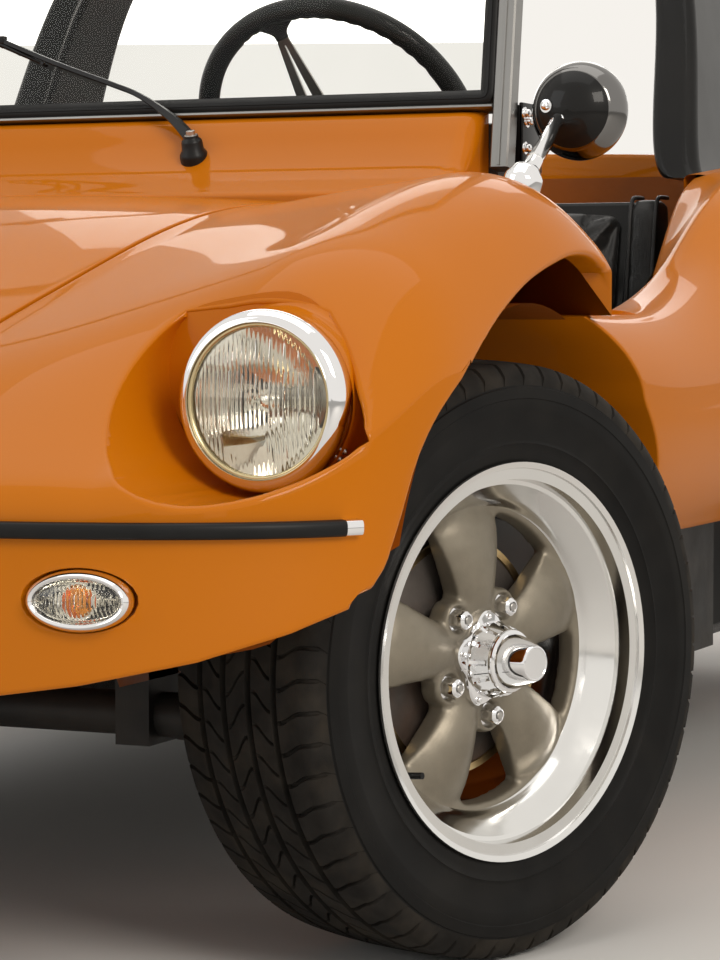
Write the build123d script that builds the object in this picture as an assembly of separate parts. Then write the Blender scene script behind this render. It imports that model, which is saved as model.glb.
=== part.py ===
from build123d import *
import math
import os

# Dune buggy: moulded open body on a short platform chassis. Millimetres.
# The car faces -Y, +X is its left side, +Z is up and the tyres stand on Z = 0.
# A station is a distance behind the front axle. sta() turns it into Y.

# Overall layout
wheelbase = 2150.0
nose_station = -610.0
tail_station = 2750.0
front_half_track = 700.0
rear_half_track = 712.0
body_half_width = 808.0

# Wheels and tyres
front_tyre_radius = 313.5
front_tyre_width = 208.0
rear_tyre_radius = 331.5
rear_tyre_width = 240.0
rim_flange_radius = 207.8
rim_barrel_radius = 184.0
front_rim_width = 196.0
rear_rim_width = 222.0
rim_wall = 6.0
lug_circle_radius = 60.3
lug_count = 5
lug_radius = 9.5
lug_pocket_radius = 13.5
dish_radius = 160.0
window_inner_radius = 84.0
window_outer_radius = 150.0
window_half_deg = 17.0
spoke_turn_deg = 7.5
spoke_plane_inset = 42.0
spoke_plane_thickness = 30.0
drum_radius = 128.0
drum_width = 50.0
stub_radius = 20.0
stub_clearance = 0.05
cap_radius = 32.0
cap_nose_radius = 18.0
cap_nose_length = 30.0
hub_bore_depth = 70.0
cap_reach = 8.0

# Front axle
beam_station = -150.0
beam_lower_z = 250.0
beam_upper_z = 370.0
beam_half = 440.0
eye_height = 34.0
kingpin_radius = 15.0
beam_radius = 24.0
tow_eye_reach = 70.0
tow_eye_radius = 15.0
tow_eye_thickness = 14.0

# Steering
kingpin_x = 625.0
parked_steer_deg = 20.0
steer_wheel_radius = 195.0
steer_grip_radius = 13.0
steer_hub_radius = 30.0
steer_hub_length = 50.0
steer_spoke_width = 30.0
steer_spoke_thickness = 5.0
steer_spoke_angles = (-107, 13, 133)
steer_wheel_x = 290.0
steer_wheel_station = 590.0
steer_wheel_z = 905.0
column_tilt_deg = 33.0
column_radius = 20.0
column_gap = 6.0

# Body heights and walls
sill_z = 415.0
side_split_z = 673.0
floor_z = 205.0
floor_thickness = 14.0
floor_front_station = 385.0
floor_rear_station = 1807.7
tunnel_half_width = 75.0
tunnel_top_z = 340.0
cockpit_half_width = 590.0
well_inner_x = 420.0
well_lip_x = 775.0
well_radius = 372.0
side_start_station = 113.0
nose_side_station = -190.0
liner = 18.0
skin = 22.0
panel_gap = 6.0
lid_thickness = 18.0

# Scuttle between the front lid and the windscreen
step_station = 260.0
scuttle_rear_station = 398.0
scuttle_half = 572.0
scuttle_top_z = 912.0
scuttle_foot_z = 817.0
fender_end_station = 176.0
fender_end_inner_station = 392.0
bulkhead_station = 1400.0

# Front and rear lids
hood_front_station = -330.0
hood_front_half = 322.0
hood_rear_half = 405.0
locker_floor_z = 440.0
engine_lid_front_station = 2030.0
engine_lid_rear_station = 2600.0
engine_lid_half = 330.0

hinge_x = 200.0
hood_hinge_station = hood_front_station + panel_gap / 2
engine_hinge_station = engine_lid_front_station + panel_gap / 2
hinge_radius = 6.0
hinge_pin_radius = 3.0
hinge_rise = 2.0
hinge_length = 66.0

# Lamps and trim
headlamp_x = 658.0
headlamp_station = -394.0
headlamp_z = 592.0
headlamp_lens_radius = 71.0
headlamp_ring_radius = 80.0
headlamp_ring_depth = 42.0
pocket_floor_station = -338.0
strip_z = 477.0
strip_height = 16.0
strip_proud = 10.0
strip_end_x = 766.0
small_lamp_x = 557.0
small_lamp_z = 413.0
small_lamp_half_width = 51.0
small_lamp_half_height = 29.0
small_lamp_front_station = -586.0
small_lamp_back_station = -545.0

# Rear axle, engine and exhaust
torsion_tube_station = 1850.0
torsion_tube_z = 300.0
torsion_tube_radius = 42.0
transaxle_z = 310.0
drive_shaft_end = 544.7
engine_front_station = 2232.0
engine_rear_station = 2500.0
silencer_station = 2640.0
silencer_z = 290.0
silencer_radius = 58.0
silencer_half = 300.0
tip_x = 150.0
tip_drop = 40.0
tip_radius = 22.0
tip_wall = 3.0
tip_bore_depth = 80.0
pipe_x = 330.0
pipe_end_x = 270.0
pipe_radius = 20.0
crank_z = 345.0
crank_half_width = 130.0
head_inner_x = 300.0
head_outer_x = 390.0
cylinder_radius = 46.0
cylinder_pitch = 118.0
fin_radius = 57.0
fin_thickness = 4.0
fin_count = 9
fan_station = 2300.0
fan_z = 560.0
fan_radius = 112.0
fan_mouth_radius = 84.0
fan_depth = 90.0
generator_radius = 40.0

# Windscreen
screen_half_width = 594.0
screen_foot_z = 843.0
screen_depth = 26.0
screen_height = 460.0
screen_rake_deg = 12.0
screen_taper = 26.0
screen_bar = 24.0
post_width = 20.0
glass_thickness = 6.0

# Roll hoop
hoop_station = 1150.0
hoop_base_x = 575.0
hoop_base_z = 866.0
hoop_top_z = 1330.0
hoop_lean = 0.43
hoop_inward = 0.227
hoop_depth_base = 215.0
hoop_depth_waist = 180.0
hoop_depth_top = 150.0
hoop_waist = 230.0
hoop_corner_x = 440.0
hoop_corner_drop = 45.0
hoop_thickness = 62.0

# Seats
seat_x = 305.0
seat_half_width = 215.0
seat_front_station = 800.0
seat_back_station = 1290.0
seat_height_z = 400.0
seat_top_z = 905.0
seat_rim = 50.0

# Mirrors, wipers and tail lamps
mirror_foot_x, mirror_foot_station, mirror_foot_z = 640.0, 280.0, 856.0
mirror_x, mirror_station, mirror_z = 690.0, 350.0, 912.0
mirror_radius = 58.0
mirror_depth = 42.0
wiper_x, wiper_station, wiper_z = 210.0, 324.0, 886.0
wiper_spread = 440.0
wiper_reach = 150.0
tail_lamp_x = 550.0
tail_lamp_half_width = 50.0
tail_lamp_z = 560.0
tail_lamp_half_height = 30.0

front_axle_y = -(nose_station + tail_station) / 2
nodes = {}


def sta(station):
    return front_axle_y + station


def mirrored(shape):
    return mirror(shape, about=Plane.YZ)


def both_sides(shape):
    return shape + mirrored(shape)


def side_profile(points, x_low, x_high):
    """A closed outline of (station, z) points, extruded from x_low to x_high."""
    outline = Polyline(*[(x_low, sta(s), z) for s, z in points], close=True)
    return extrude(make_face(outline), amount=x_high - x_low, dir=(1, 0, 0))


def plan_profile(points, z_low, z_high):
    """A closed outline of (x, station) points, extruded from z_low to z_high."""
    outline = Polyline(*[(x, sta(s), z_low) for x, s in points], close=True)
    return extrude(make_face(outline), amount=z_high - z_low, dir=(0, 0, 1))


def block(x_low, x_high, s_low, s_high, z_low, z_high):
    centre = ((x_low + x_high) / 2, sta((s_low + s_high) / 2), (z_low + z_high) / 2)
    return Pos(*centre) * Box(x_high - x_low, s_high - s_low, z_high - z_low)


def rod(start, end, radius, end_radius=None):
    """A round bar from start to end, each (x, station, z)."""
    a = Vector(start[0], sta(start[1]), start[2])
    b = Vector(end[0], sta(end[1]), end[2])
    plane = Plane(origin=a, z_dir=b - a)
    if end_radius is None:
        return plane * Cylinder(radius, (b - a).length, align=(Align.CENTER, Align.CENTER, Align.MIN))
    return plane * Cone(radius, end_radius, (b - a).length, align=(Align.CENTER, Align.CENTER, Align.MIN))


def spun(points):
    """A closed outline of (x, radius) points, turned about the X axis."""
    outline = Polyline(*[(x, 0, r) for x, r in points], close=True)
    return revolve(make_face(outline), axis=Axis.X)


# Body sections
# Half outline of the moulded body at a station, from the middle outwards:
# crown height, then x and z of the crease, slope, crest, shoulder, side and lip.
front_sections = [
    (-640, 470, 315, 472, 430, 472, 560, 468, 700, 458, 800, 430, 808, 290),
    (-520, 545, 325, 560, 430, 562, 560, 540, 690, 520, 808, 470, 808, 290),
    (-420, 612, 330, 622, 440, 628, 580, 610, 700, 590, 808, 520, 808, 290),
    (-320, 674, 343, 664, 450, 676, 600, 700, 730, 682, 808, 590, 808, 290),
    (-200, 718, 361, 708, 460, 722, 620, 756, 750, 735, 808, 650, 808, 290),
    (-50, 768, 380, 760, 480, 774, 635, 804, 755, 790, 808, 710, 808, 290),
    (100, 804, 402, 793, 490, 806, 640, 830, 752, 812, 808, 738, 808, 290),
    (260, 818, 425, 803, 500, 815.5, 610, 837, 725, 805, 804, 715, 808, 290),
    (340, 822, 428, 809, 500, 818.5, 606, 836, 722, 802, 804, 707, 808, 290),
    (420, 826, 430, 815, 500, 822, 605, 837, 720, 800, 804, 700, 808, 290),
]
rear_sections = [
    (1100, 888, 420, 882, 500, 876, 600, 868, 745, 820, 830, 640, 800, 415),
    (1400, 920, 420, 914, 520, 906, 640, 890, 775, 845, 834, 700, 806, 415),
    (1800, 922, 420, 915, 530, 906, 660, 892, 785, 850, 836, 720, 812, 415),
    (2200, 880, 420, 873, 530, 864, 660, 850, 785, 812, 836, 690, 815, 430),
    (2500, 808, 418, 800, 525, 790, 655, 775, 775, 740, 832, 630, 812, 470),
    (2750, 690, 405, 682, 510, 672, 630, 655, 750, 625, 806, 560, 792, 490),
]


def body_section(row, inset):
    """The left half of the closed section; the right half is its mirror image."""
    s, zc, xk, zk, xv, zv, xr, zr, xm, zm, xo, zo, xl, zl = row

    def at(x, z):
        return Vector(x, sta(s), z)

    crown, crease, slope = at(0, zc - inset), at(xk, zk - inset), at(xv, zv - inset)
    crest, shoulder = at(xr, zr - inset), at(xm - 0.6 * inset, zm - 0.8 * inset)
    side = at(xo - inset, zo - 0.3 * inset)
    lip, middle = at(xl - inset, zl - inset), at(0, zl - inset)
    edges = [
        TangentArc(crown, crease, tangent=(1, 0, 0)),
        ThreePointArc(crease, slope, crest),
        ThreePointArc(crest, shoulder, side),
        Line(side, lip),
        Line(lip, middle),
        Line(middle, crown),
    ]
    return Face(Wire(edges))


def body_loft(rows, inset=0.0):
    return loft([body_section(row, inset) for row in rows])


# Front wheel arch: (station, z) of the opening seen from the side
arch_front_foot = (-470.0, 250.0)
arch_front = (-436.0, 435.0)
arch_front_mid = (-262.0, 592.0)
arch_crown = (53.0, 736.0)
arch_corner = (146.0, 722.0)
arch_rear_top = (176.0, 673.0)
arch_rear_mid = (276.0, 560.0)
arch_rear_foot = (374.0, 313.0)
arch_rear_base = (374.0, 150.0)


def arch_volume(x_low, x_high):
    def at(p):
        return (x_low, sta(p[0]), p[1])

    edges = [
        Line(at((arch_front_foot[0], 150.0)), at(arch_front_foot)),
        Line(at(arch_front_foot), at(arch_front)),
        ThreePointArc(at(arch_front), at(arch_front_mid), at(arch_crown)),
        ThreePointArc(at(arch_crown), at(arch_corner), at(arch_rear_top)),
        Line(at(arch_rear_top), at(arch_rear_mid)),
        Line(at(arch_rear_mid), at(arch_rear_foot)),
        Line(at(arch_rear_foot), at(arch_rear_base)),
        Line(at(arch_rear_base), at((arch_front_foot[0], 150.0))),
    ]
    return extrude(Face(Wire(edges)), amount=x_high - x_low, dir=(1, 0, 0))


# Outline of the nose seen from above: (x, station) along its front edge
nose_plan = [
    (0, -610), (300, -604), (480, -584), (620, -545), (720, -480), (776, -400), (802, -310), (812, -200),
]
# The headlamp's recess seen from the front: (x, z) round its edge
pocket_outline = [
    (528, 640), (548, 674), (602, 689), (668, 692), (712, 656), (748, 600), (766, 556), (738, 526), (692, 506),
    (640, 500), (598, 514), (552, 552), (530, 596),
]
# Lower edge of the nose seen from the front: (x, z)
nose_under = [(0, 312), (440, 318), (550, 334), (652, 356), (722, 380), (768, 404), (812, 440)]


def nose_space(inset, z_low, z_high):
    """Everything behind the nose line drawn in by inset, on the left half."""
    edge = [(x * (1 - inset / body_half_width), sta(s + inset), z_low) for x, s in nose_plan]
    front = Spline(*edge, tangents=[(1, 0, 0), (0, 1, 0)])
    back = Polyline(edge[-1], (edge[-1][0], sta(500), z_low), (0, sta(500), z_low), edge[0])
    return extrude(make_face(Wire([*front.edges(), *back.edges()])), amount=z_high - z_low, dir=(0, 0, 1))


def nose_trim(inset=0.0):
    return nose_space(inset, 200, 950)


def pocket_volume(inset, floor_station):
    """The headlamp's recess, open to the front; a negative inset gives its lining."""
    points = []
    for x, z in pocket_outline:
        reach = math.hypot(x - headlamp_x, z - headlamp_z)
        share = (reach - inset) / reach
        points.append((headlamp_x + (x - headlamp_x) * share, sta(nose_station - 90),
                       headlamp_z + (z - headlamp_z) * share))
    outline = make_face(Wire(Spline(*points, periodic=True).edges()))
    return extrude(outline, amount=floor_station - nose_station + 90, dir=(0, 1, 0))


def under_trim():
    edge = nose_under + [(body_half_width + 4, 150), (0, 150)]
    outline = Polyline(*[(x, sta(nose_station - 90), z) for x, z in edge], close=True)
    return extrude(make_face(outline), amount=440, dir=(0, 1, 0))


def well_volume(radius, x_low, x_high):
    """Room for the steered front wheel, round the front axle."""
    centre = Pos((x_low + x_high) / 2, sta(0), front_tyre_radius)
    drum = centre * Rot(0, 90, 0) * Cylinder(radius, x_high - x_low)
    return drum + block(x_low, x_high, -radius, radius, 100, front_tyre_radius)


def fender_end_line(shift):
    """The fender's slanting rear end in plan: (x, station), moved along the car by shift."""
    lean = (fender_end_inner_station - fender_end_station) / (body_half_width - scuttle_half)
    outer_station = fender_end_station - lean * (900 - body_half_width)
    return [(900, outer_station + shift), (scuttle_half, fender_end_inner_station + shift)]


def make_body_front():
    """The nose, the front fenders and the front locker, as one moulding."""
    far = body_half_width + 20
    outer = body_loft(front_sections)
    body = (outer - body_loft(front_sections, skin)) & nose_trim()
    nose_face = (nose_trim() - nose_trim(skin)) & block(0, far, nose_station - 90, nose_side_station, 200, 950)
    well = well_volume(well_radius + liner, well_inner_x - liner, body_half_width - 0.5)
    well -= well_volume(well_radius, well_inner_x - liner, body_half_width)
    wall = block(well_inner_x - liner, well_inner_x, nose_station + 50, step_station,
                 locker_floor_z - liner, 900)
    bucket = pocket_volume(-liner, pocket_floor_station + liner) & nose_trim()
    end_wall = plan_profile(fender_end_line(-liner) + fender_end_line(0)[::-1], side_split_z, 950)
    for lining in (nose_face, wall, well, bucket, end_wall):
        body += lining & outer
    body += block(0, well_inner_x, hood_front_station - 60, step_station,
                  locker_floor_z - liner, locker_floor_z)
    body += block(0, well_inner_x, step_station - liner, step_station, locker_floor_z - liner, 780)
    body -= pocket_volume(0, pocket_floor_station)
    body -= well_volume(well_radius, well_inner_x, far)
    body -= arch_volume(well_lip_x, far)
    body -= under_trim()
    # The fender ends in a slanting wall, and the side panel takes over below it
    body -= plan_profile(fender_end_line(0) + [(scuttle_half, 520), (900, 520)], 200, 950)
    body -= block(cockpit_half_width, 900, side_start_station, 520, 200, side_split_z)
    body -= block(0, cockpit_half_width + 1, step_station, 520, 200, side_split_z)
    body -= block(-1, scuttle_half, step_station, 520, 200, 950)
    body -= hood_space(0)
    body -= lamp_oval(0.3, nose_station - 60, small_lamp_back_station + 0.3)
    body += hinge_part(front_sections, hood_hinge_station, False)
    return both_sides(body) - column_line(column_radius + column_gap)


def hood_space(grow):
    """Plan of the front lid's opening, drawn in by a gap for the lid itself."""
    g = grow
    rear = step_station - g
    return plan_profile([(hood_front_half - g, hood_front_station + g), (hood_rear_half - g, rear),
                         (-hood_rear_half + g, rear), (-hood_front_half + g, hood_front_station + g)],
                        locker_floor_z, 950)


def make_scuttle():
    """The moulded rise to the windscreen, with the toe panel below it."""
    half = scuttle_half
    top = side_profile(
        [(step_station, scuttle_foot_z - 60), (step_station, scuttle_foot_z), (300, 838), (340, 872),
         (372, scuttle_top_z), (scuttle_rear_station, scuttle_top_z), (scuttle_rear_station, 760),
         (scuttle_rear_station - skin, 760), (scuttle_rear_station - skin, scuttle_top_z - skin),
         (350, 850), (step_station + skin, scuttle_foot_z - skin), (step_station + skin, scuttle_foot_z - 60)],
        -half, half)
    return top - column_line(column_radius + column_gap)


def make_hood():
    space = hood_space(panel_gap)
    skin_half = body_loft(front_sections) - body_loft(front_sections, lid_thickness)
    return both_sides((skin_half & space) + hinge_part(front_sections, hood_hinge_station, True))


def surface_z(rows, x, station):
    """Height of the moulded surface at a point seen from above."""
    needle = Edge.make_line((x, sta(station), 400), (x, sta(station), 1000))
    inside = needle & body_loft(rows)
    return inside.bounding_box().max.Z


def hinge_axis_z(rows, station):
    return surface_z(rows, hinge_x, station) + hinge_radius + hinge_rise


def hinge_part(rows, station, on_lid):
    """One butt hinge's half: the lid has the middle knuckle, the body the outer two and the pin."""
    z = hinge_axis_z(rows, station)
    rise = surface_z(rows, hinge_x, station + 30) - surface_z(rows, hinge_x, station)
    slope = math.degrees(math.atan2(rise, 30))
    turn = Pos(0, sta(station), z) * Rot(slope, 0, 0) * Pos(0, -sta(station), -z)
    third, gap, x = hinge_length / 3, 0.3, hinge_x
    low, high = z - hinge_radius - 5, z - 2
    if on_lid:
        half = rod((x - third / 2 + gap, station, z), (x + third / 2 - gap, station, z), hinge_radius)
        half += turn * block(x - third / 2 + gap, x + third / 2 - gap, station + 2, station + 28, low, high)
        return half - rod((x - third, station, z), (x + third, station, z), hinge_pin_radius + stub_clearance)
    half = rod((x - third, station, z), (x + third, station, z), hinge_pin_radius)
    for start in (x - hinge_length / 2, x + third / 2):
        half += rod((start, station, z), (start + third, station, z), hinge_radius)
        half += turn * block(start, start + third, station - 28, station - 2, low, high)
    return half


# Side panel sections: station, top z, crest x, widest x, widest z, foot x
side_sections = [
    (side_start_station, 673, 700, 804, 600, 776),
    (345, 680, 700, 820, 575, 770),
    (462, 724, 702, 824, 582, 768),
    (600, 782, 704, 828, 596, 768),
    (720, 842, 702, 830, 612, 768),
    (850, 866, 698, 830, 626, 768),
    (1100, 872, 690, 830, 640, 768),
]


def side_section(row):
    s, top, crest_x, wide_x, wide_z, foot_x = row

    def at(x, z):
        return Vector(x, sta(s), z)

    corner = at(cockpit_half_width + 70, top)
    bend = at((crest_x + wide_x) / 2 + 24, (top + wide_z) / 2 + 26)
    belly = at(wide_x, wide_z)
    foot = at(foot_x, sill_z)
    edges = [
        Line(at(cockpit_half_width, floor_z), at(cockpit_half_width, top)),
        Line(at(cockpit_half_width, top), corner),
        ThreePointArc(corner, bend, belly),
        ThreePointArc(belly, at(wide_x - 8, (wide_z + sill_z) / 2), foot),
        Line(foot, at(cockpit_half_width + 46, sill_z - 18)),
        Line(at(cockpit_half_width + 46, sill_z - 18), at(cockpit_half_width + 46, floor_z)),
        Line(at(cockpit_half_width + 46, floor_z), at(cockpit_half_width, floor_z)),
    ]
    return Face(Wire(edges))


def make_body_side():
    side = loft([side_section(row) for row in side_sections])
    side -= arch_volume(well_inner_x, body_half_width + 40)
    side -= well_volume(well_radius, well_inner_x, body_half_width + 40)
    return side - block(well_inner_x, 900, 0, fender_end_inner_station + 0.3, side_split_z - 0.3, 950)


def rear_arch(radius, x_low, x_high):
    centre = Pos((x_low + x_high) / 2, sta(wheelbase), rear_tyre_radius)
    return centre * Rot(0, 90, 0) * Cylinder(radius, x_high - x_low)


def make_body_rear():
    """The rear fenders, the deck and the wall behind the seats, as one moulding."""
    outer = body_loft(rear_sections)
    tail_wall = block(0, 900, tail_station - skin, tail_station + 50, 200, 950)
    body = outer - (body_loft(rear_sections, skin) - tail_wall)
    low = floor_z + floor_thickness + 0.3
    walls = block(0, cockpit_half_width, bulkhead_station, bulkhead_station + skin, low, 960)
    walls -= block(-1, tunnel_half_width + 0.3, bulkhead_station - 1, bulkhead_station + skin + 1,
                   0, tunnel_top_z + 0.3)
    walls += block(cockpit_half_width, cockpit_half_width + skin, 1100, bulkhead_station + skin, low, 960)
    body += walls & body_loft([row[:-1] + (low,) for row in rear_sections])
    body += block(cockpit_half_width, 860, 1100, 1100 + skin, sill_z - 10, 960) & outer
    body -= block(-1, cockpit_half_width, 1050, bulkhead_station, 200, 960)
    body -= rear_arch(rear_tyre_radius + 44, cockpit_half_width - 60, 900)
    body -= engine_lid_space(0)
    return both_sides(body + hinge_part(rear_sections, engine_hinge_station, False))


def engine_lid_space(grow):
    return block(-engine_lid_half + grow, engine_lid_half - grow,
                 engine_lid_front_station + grow, engine_lid_rear_station - grow, 600, 960)


def make_engine_lid():
    skin_half = body_loft(rear_sections) - body_loft(rear_sections, lid_thickness)
    lid = skin_half & engine_lid_space(panel_gap)
    return both_sides(lid + hinge_part(rear_sections, engine_hinge_station, True))


def make_floorpan():
    wide = cockpit_half_width - 0.3
    narrow = well_inner_x - liner
    high = locker_floor_z - liner - 0.3
    pan = block(-wide, wide, floor_front_station, floor_rear_station, floor_z, floor_z + floor_thickness)
    pan += block(-narrow, narrow, step_station, floor_front_station, floor_z, floor_z + floor_thickness)
    tunnel = block(-tunnel_half_width, tunnel_half_width, step_station, floor_rear_station,
                   floor_z, tunnel_top_z)
    toe = block(-narrow, narrow, step_station - liner, step_station, floor_z, high)
    cheek = block(narrow - liner, narrow, step_station, floor_front_station, floor_z, scuttle_foot_z - 62)
    corner = block(narrow - liner, wide, floor_front_station, floor_front_station + liner,
                   floor_z, side_split_z - 0.3)
    corner += block(narrow - liner, scuttle_half - 0.3, floor_front_station, floor_front_station + liner,
                    side_split_z - 1, scuttle_foot_z - 62)
    head = block(-90, 90, -110, step_station - liner, 262, 352)
    return pan + tunnel + toe + both_sides(cheek + corner) + head


def make_dashboard():
    board = side_profile(
        [(scuttle_rear_station + 0.3, 780), (scuttle_rear_station + 0.3, 900), (440, 904), (478, 880),
         (470, 760), (430, 740)], -cockpit_half_width + 6, cockpit_half_width - 6)
    return board - column_line(column_radius + column_gap)


def make_roll_hoop():
    # x, z, angle of the path, depth along the car, thickness
    rows = [
        (hoop_base_x, hoop_base_z, 90, hoop_depth_base, hoop_thickness),
        (hoop_base_x - hoop_inward * hoop_waist, hoop_base_z + hoop_waist, 100,
         hoop_depth_waist, hoop_thickness),
        (hoop_corner_x, hoop_top_z - hoop_corner_drop, 135, hoop_depth_top, hoop_thickness - 6),
        (0, hoop_top_z, 180, hoop_depth_top, hoop_thickness - 10),
    ]
    rows += [(-x, z, 360 - angle, depth, thick) for x, z, angle, depth, thick in reversed(rows[:-1])]
    sections = []
    for x, z, angle, depth, thick in rows:
        direction = Vector(math.cos(math.radians(angle)), 0, math.sin(math.radians(angle)))
        station = hoop_station + hoop_lean * (z - hoop_base_z) + depth / 2
        plane = Plane(origin=(x, sta(station), z), x_dir=(0, 1, 0), z_dir=direction)
        sections.append(plane * RectangleRounded(depth, thick, thick * 0.3))
    return loft(sections)


def screen_plane():
    tilt = math.radians(screen_rake_deg)
    base_z = scuttle_top_z + screen_depth / 2 * math.sin(tilt) + 0.3
    base = Vector(0, sta(scuttle_rear_station - 14), base_z)
    up = Vector(0, math.sin(tilt), math.cos(tilt))
    return Plane(origin=base, x_dir=(1, 0, 0), z_dir=up.cross(Vector(1, 0, 0)) * -1)


def trapezoid(half_low, half_high, low, high):
    corners = [(-half_low, low), (half_low, low), (half_high, high), (-half_high, high)]
    return make_face(Polyline(*corners, close=True))


def screen_half_at(height):
    return screen_half_width - screen_taper * height / screen_height


def make_screen_frame():
    outer = trapezoid(screen_half_at(0), screen_half_at(screen_height), 0, screen_height)
    low, high = screen_bar, screen_height - screen_bar
    hole = trapezoid(screen_half_at(low) - screen_bar, screen_half_at(high) - screen_bar, low, high)
    frame = extrude(screen_plane() * (outer - hole), amount=screen_depth / 2, both=True)
    drop = scuttle_top_z - screen_foot_z
    post = Pos(screen_half_width - post_width / 2, -drop / 2 + 4, 0) * Box(post_width, drop + 8, screen_depth)
    return frame + both_sides(screen_plane() * post)


def make_screen_glass():
    low, high = screen_bar, screen_height - screen_bar
    pane = trapezoid(screen_half_at(low) - screen_bar, screen_half_at(high) - screen_bar, low, high)
    return extrude(screen_plane() * pane, amount=glass_thickness / 2, both=True)


def make_screen_brackets():
    plate = block(screen_half_width + 0.3, screen_half_width + 8, scuttle_rear_station + 0.3, 450,
                  screen_foot_z, 925)
    return both_sides(plate)


def make_mirrors():
    """A round mirror on a slanting arm, each side of the windscreen."""
    x, station, z = mirror_foot_x, mirror_foot_station, mirror_foot_z
    foot = rod((x, station, z - 36), (x, station, z + 4), 18)
    arm = rod((x, station, z), (mirror_x - 8, mirror_station + 22, mirror_z - 7), 8, 6)
    rear = mirror_station + mirror_depth
    shell = rod((mirror_x, mirror_station, mirror_z), (mirror_x, rear, mirror_z), 26, mirror_radius - 2)
    rim = rod((mirror_x, rear, mirror_z), (mirror_x, rear + 10, mirror_z), mirror_radius)
    return both_sides(foot + arm + shell + rim)


def make_wipers():
    """Two parked wipers: a boss through the scuttle and a bare arm."""
    boss = rod((wiper_x, wiper_station + 21, wiper_z - 30), (wiper_x, wiper_station - 2, wiper_z + 4), 14)
    tip = (wiper_x - wiper_reach, wiper_station + 36, wiper_z + 99)
    arm = rod((wiper_x, wiper_station, wiper_z), tip, 5, 3.5)
    wiper = boss + arm
    return wiper + Pos(-wiper_spread, 0, 0) * wiper


def steering_plane():
    tilt = math.radians(column_tilt_deg)
    normal = Vector(0, math.cos(tilt), math.sin(tilt))
    return Plane(origin=(steer_wheel_x, sta(steer_wheel_station), steer_wheel_z), x_dir=(1, 0, 0), z_dir=normal)


def make_steering_wheel():
    """A dished wheel: grip, hub and three flat spokes."""
    wheel = Torus(steer_wheel_radius - steer_grip_radius, steer_grip_radius)
    wheel += Pos(0, 0, -40) * Cylinder(steer_hub_radius, steer_hub_length)
    for angle in steer_spoke_angles:
        spoke = Rot(0, 0, angle) * Pos((steer_wheel_radius - 10) / 2, 0, -18) * Rot(0, -8, 0)
        wheel += spoke * Box(steer_wheel_radius - 24, steer_spoke_width, steer_spoke_thickness)
    return steering_plane() * wheel


def column_line(radius):
    """The straight line of the steering column, from the wheel's hub to the steering box."""
    tilt = math.radians(column_tilt_deg)
    length = (steer_wheel_z - locker_floor_z + liner) / math.sin(tilt)
    start = 41 + steer_hub_length / 2
    return steering_plane() * Pos(0, 0, -start) * Cylinder(radius, length - start,
                                                           align=(Align.CENTER, Align.CENTER, Align.MAX))


def make_steering_column():
    box = block(steer_wheel_x - 40, steer_wheel_x + 40, beam_station - 30, beam_station + 60,
                beam_upper_z + beam_radius + 0.3, locker_floor_z - liner - 0.3)
    return column_line(column_radius) + box


def make_seat():
    """A bucket seat: base, squab and back within raised side wings."""
    low, high = floor_z + floor_thickness + 0.3, seat_top_z
    squab, back = seat_height_z, seat_back_station
    outline = [(seat_front_station, low), (seat_front_station, squab + 30), (back - 170, squab),
               (back - 90, high - 60), (back - 10, high - 60), (back - 60, low)]
    hollow = [(seat_front_station - 10, squab - 10), (back - 180, squab - 40), (back - 55, high + 10),
              (seat_front_station - 10, high + 10)]
    seat = side_profile(outline, seat_x - seat_half_width, seat_x + seat_half_width)
    return seat - side_profile(hollow, seat_x - seat_half_width + seat_rim, seat_x + seat_half_width - seat_rim)


def make_front_beam():
    tubes = rod((-beam_half, beam_station, beam_lower_z), (beam_half, beam_station, beam_lower_z), beam_radius)
    tubes += rod((-beam_half, beam_station, beam_upper_z), (beam_half, beam_station, beam_upper_z), beam_radius)
    tower = block(beam_half - 60, beam_half - 20, beam_station - 34, beam_station + 34,
                  beam_lower_z - 30, locker_floor_z - liner - 0.3)
    plate = block(100, 130, beam_station - 30, beam_station + 40, beam_lower_z - 26, beam_upper_z + 30)
    eye_station = beam_station - tow_eye_reach
    low, high = beam_lower_z - tow_eye_thickness / 2, beam_lower_z + tow_eye_thickness / 2
    eye = block(-22, 22, eye_station, beam_station, low, high)
    eye += rod((0, eye_station, low), (0, eye_station, high), 26)
    eye -= rod((0, eye_station, low - 6), (0, eye_station, high + 6), tow_eye_radius)
    return tubes + both_sides(tower + plate) + eye


def make_front_arms():
    """Trailing arms of the left side, each ending in an eye round the kingpin."""
    arms = None
    for z in (beam_lower_z, beam_upper_z):
        arm = rod((beam_half + 0.3, beam_station, z), (beam_half + 36, beam_station, z), 26)
        arm += rod((beam_half + 20, beam_station, z), (kingpin_x - 8, -8, z), 15, 13)
        arm += rod((kingpin_x, 0, z - eye_height / 2), (kingpin_x, 0, z + eye_height / 2), 25)
        arm -= rod((kingpin_x, 0, z - eye_height), (kingpin_x, 0, z + eye_height),
                   kingpin_radius + stub_clearance)
        arms = arm if arms is None else arms + arm
    return arms


def wheel_place(front, side):
    """Location of a wheel's centre; side is +1 for the left and -1 for the right."""
    if front:
        return (Pos(side * kingpin_x, sta(0), front_tyre_radius) * Rot(0, 0, -parked_steer_deg)
                * Pos(side * (front_half_track - kingpin_x), 0, 0))
    return Pos(side * rear_half_track, sta(wheelbase), rear_tyre_radius)


def sided(shape, side):
    return shape if side > 0 else mirrored(shape)


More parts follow.
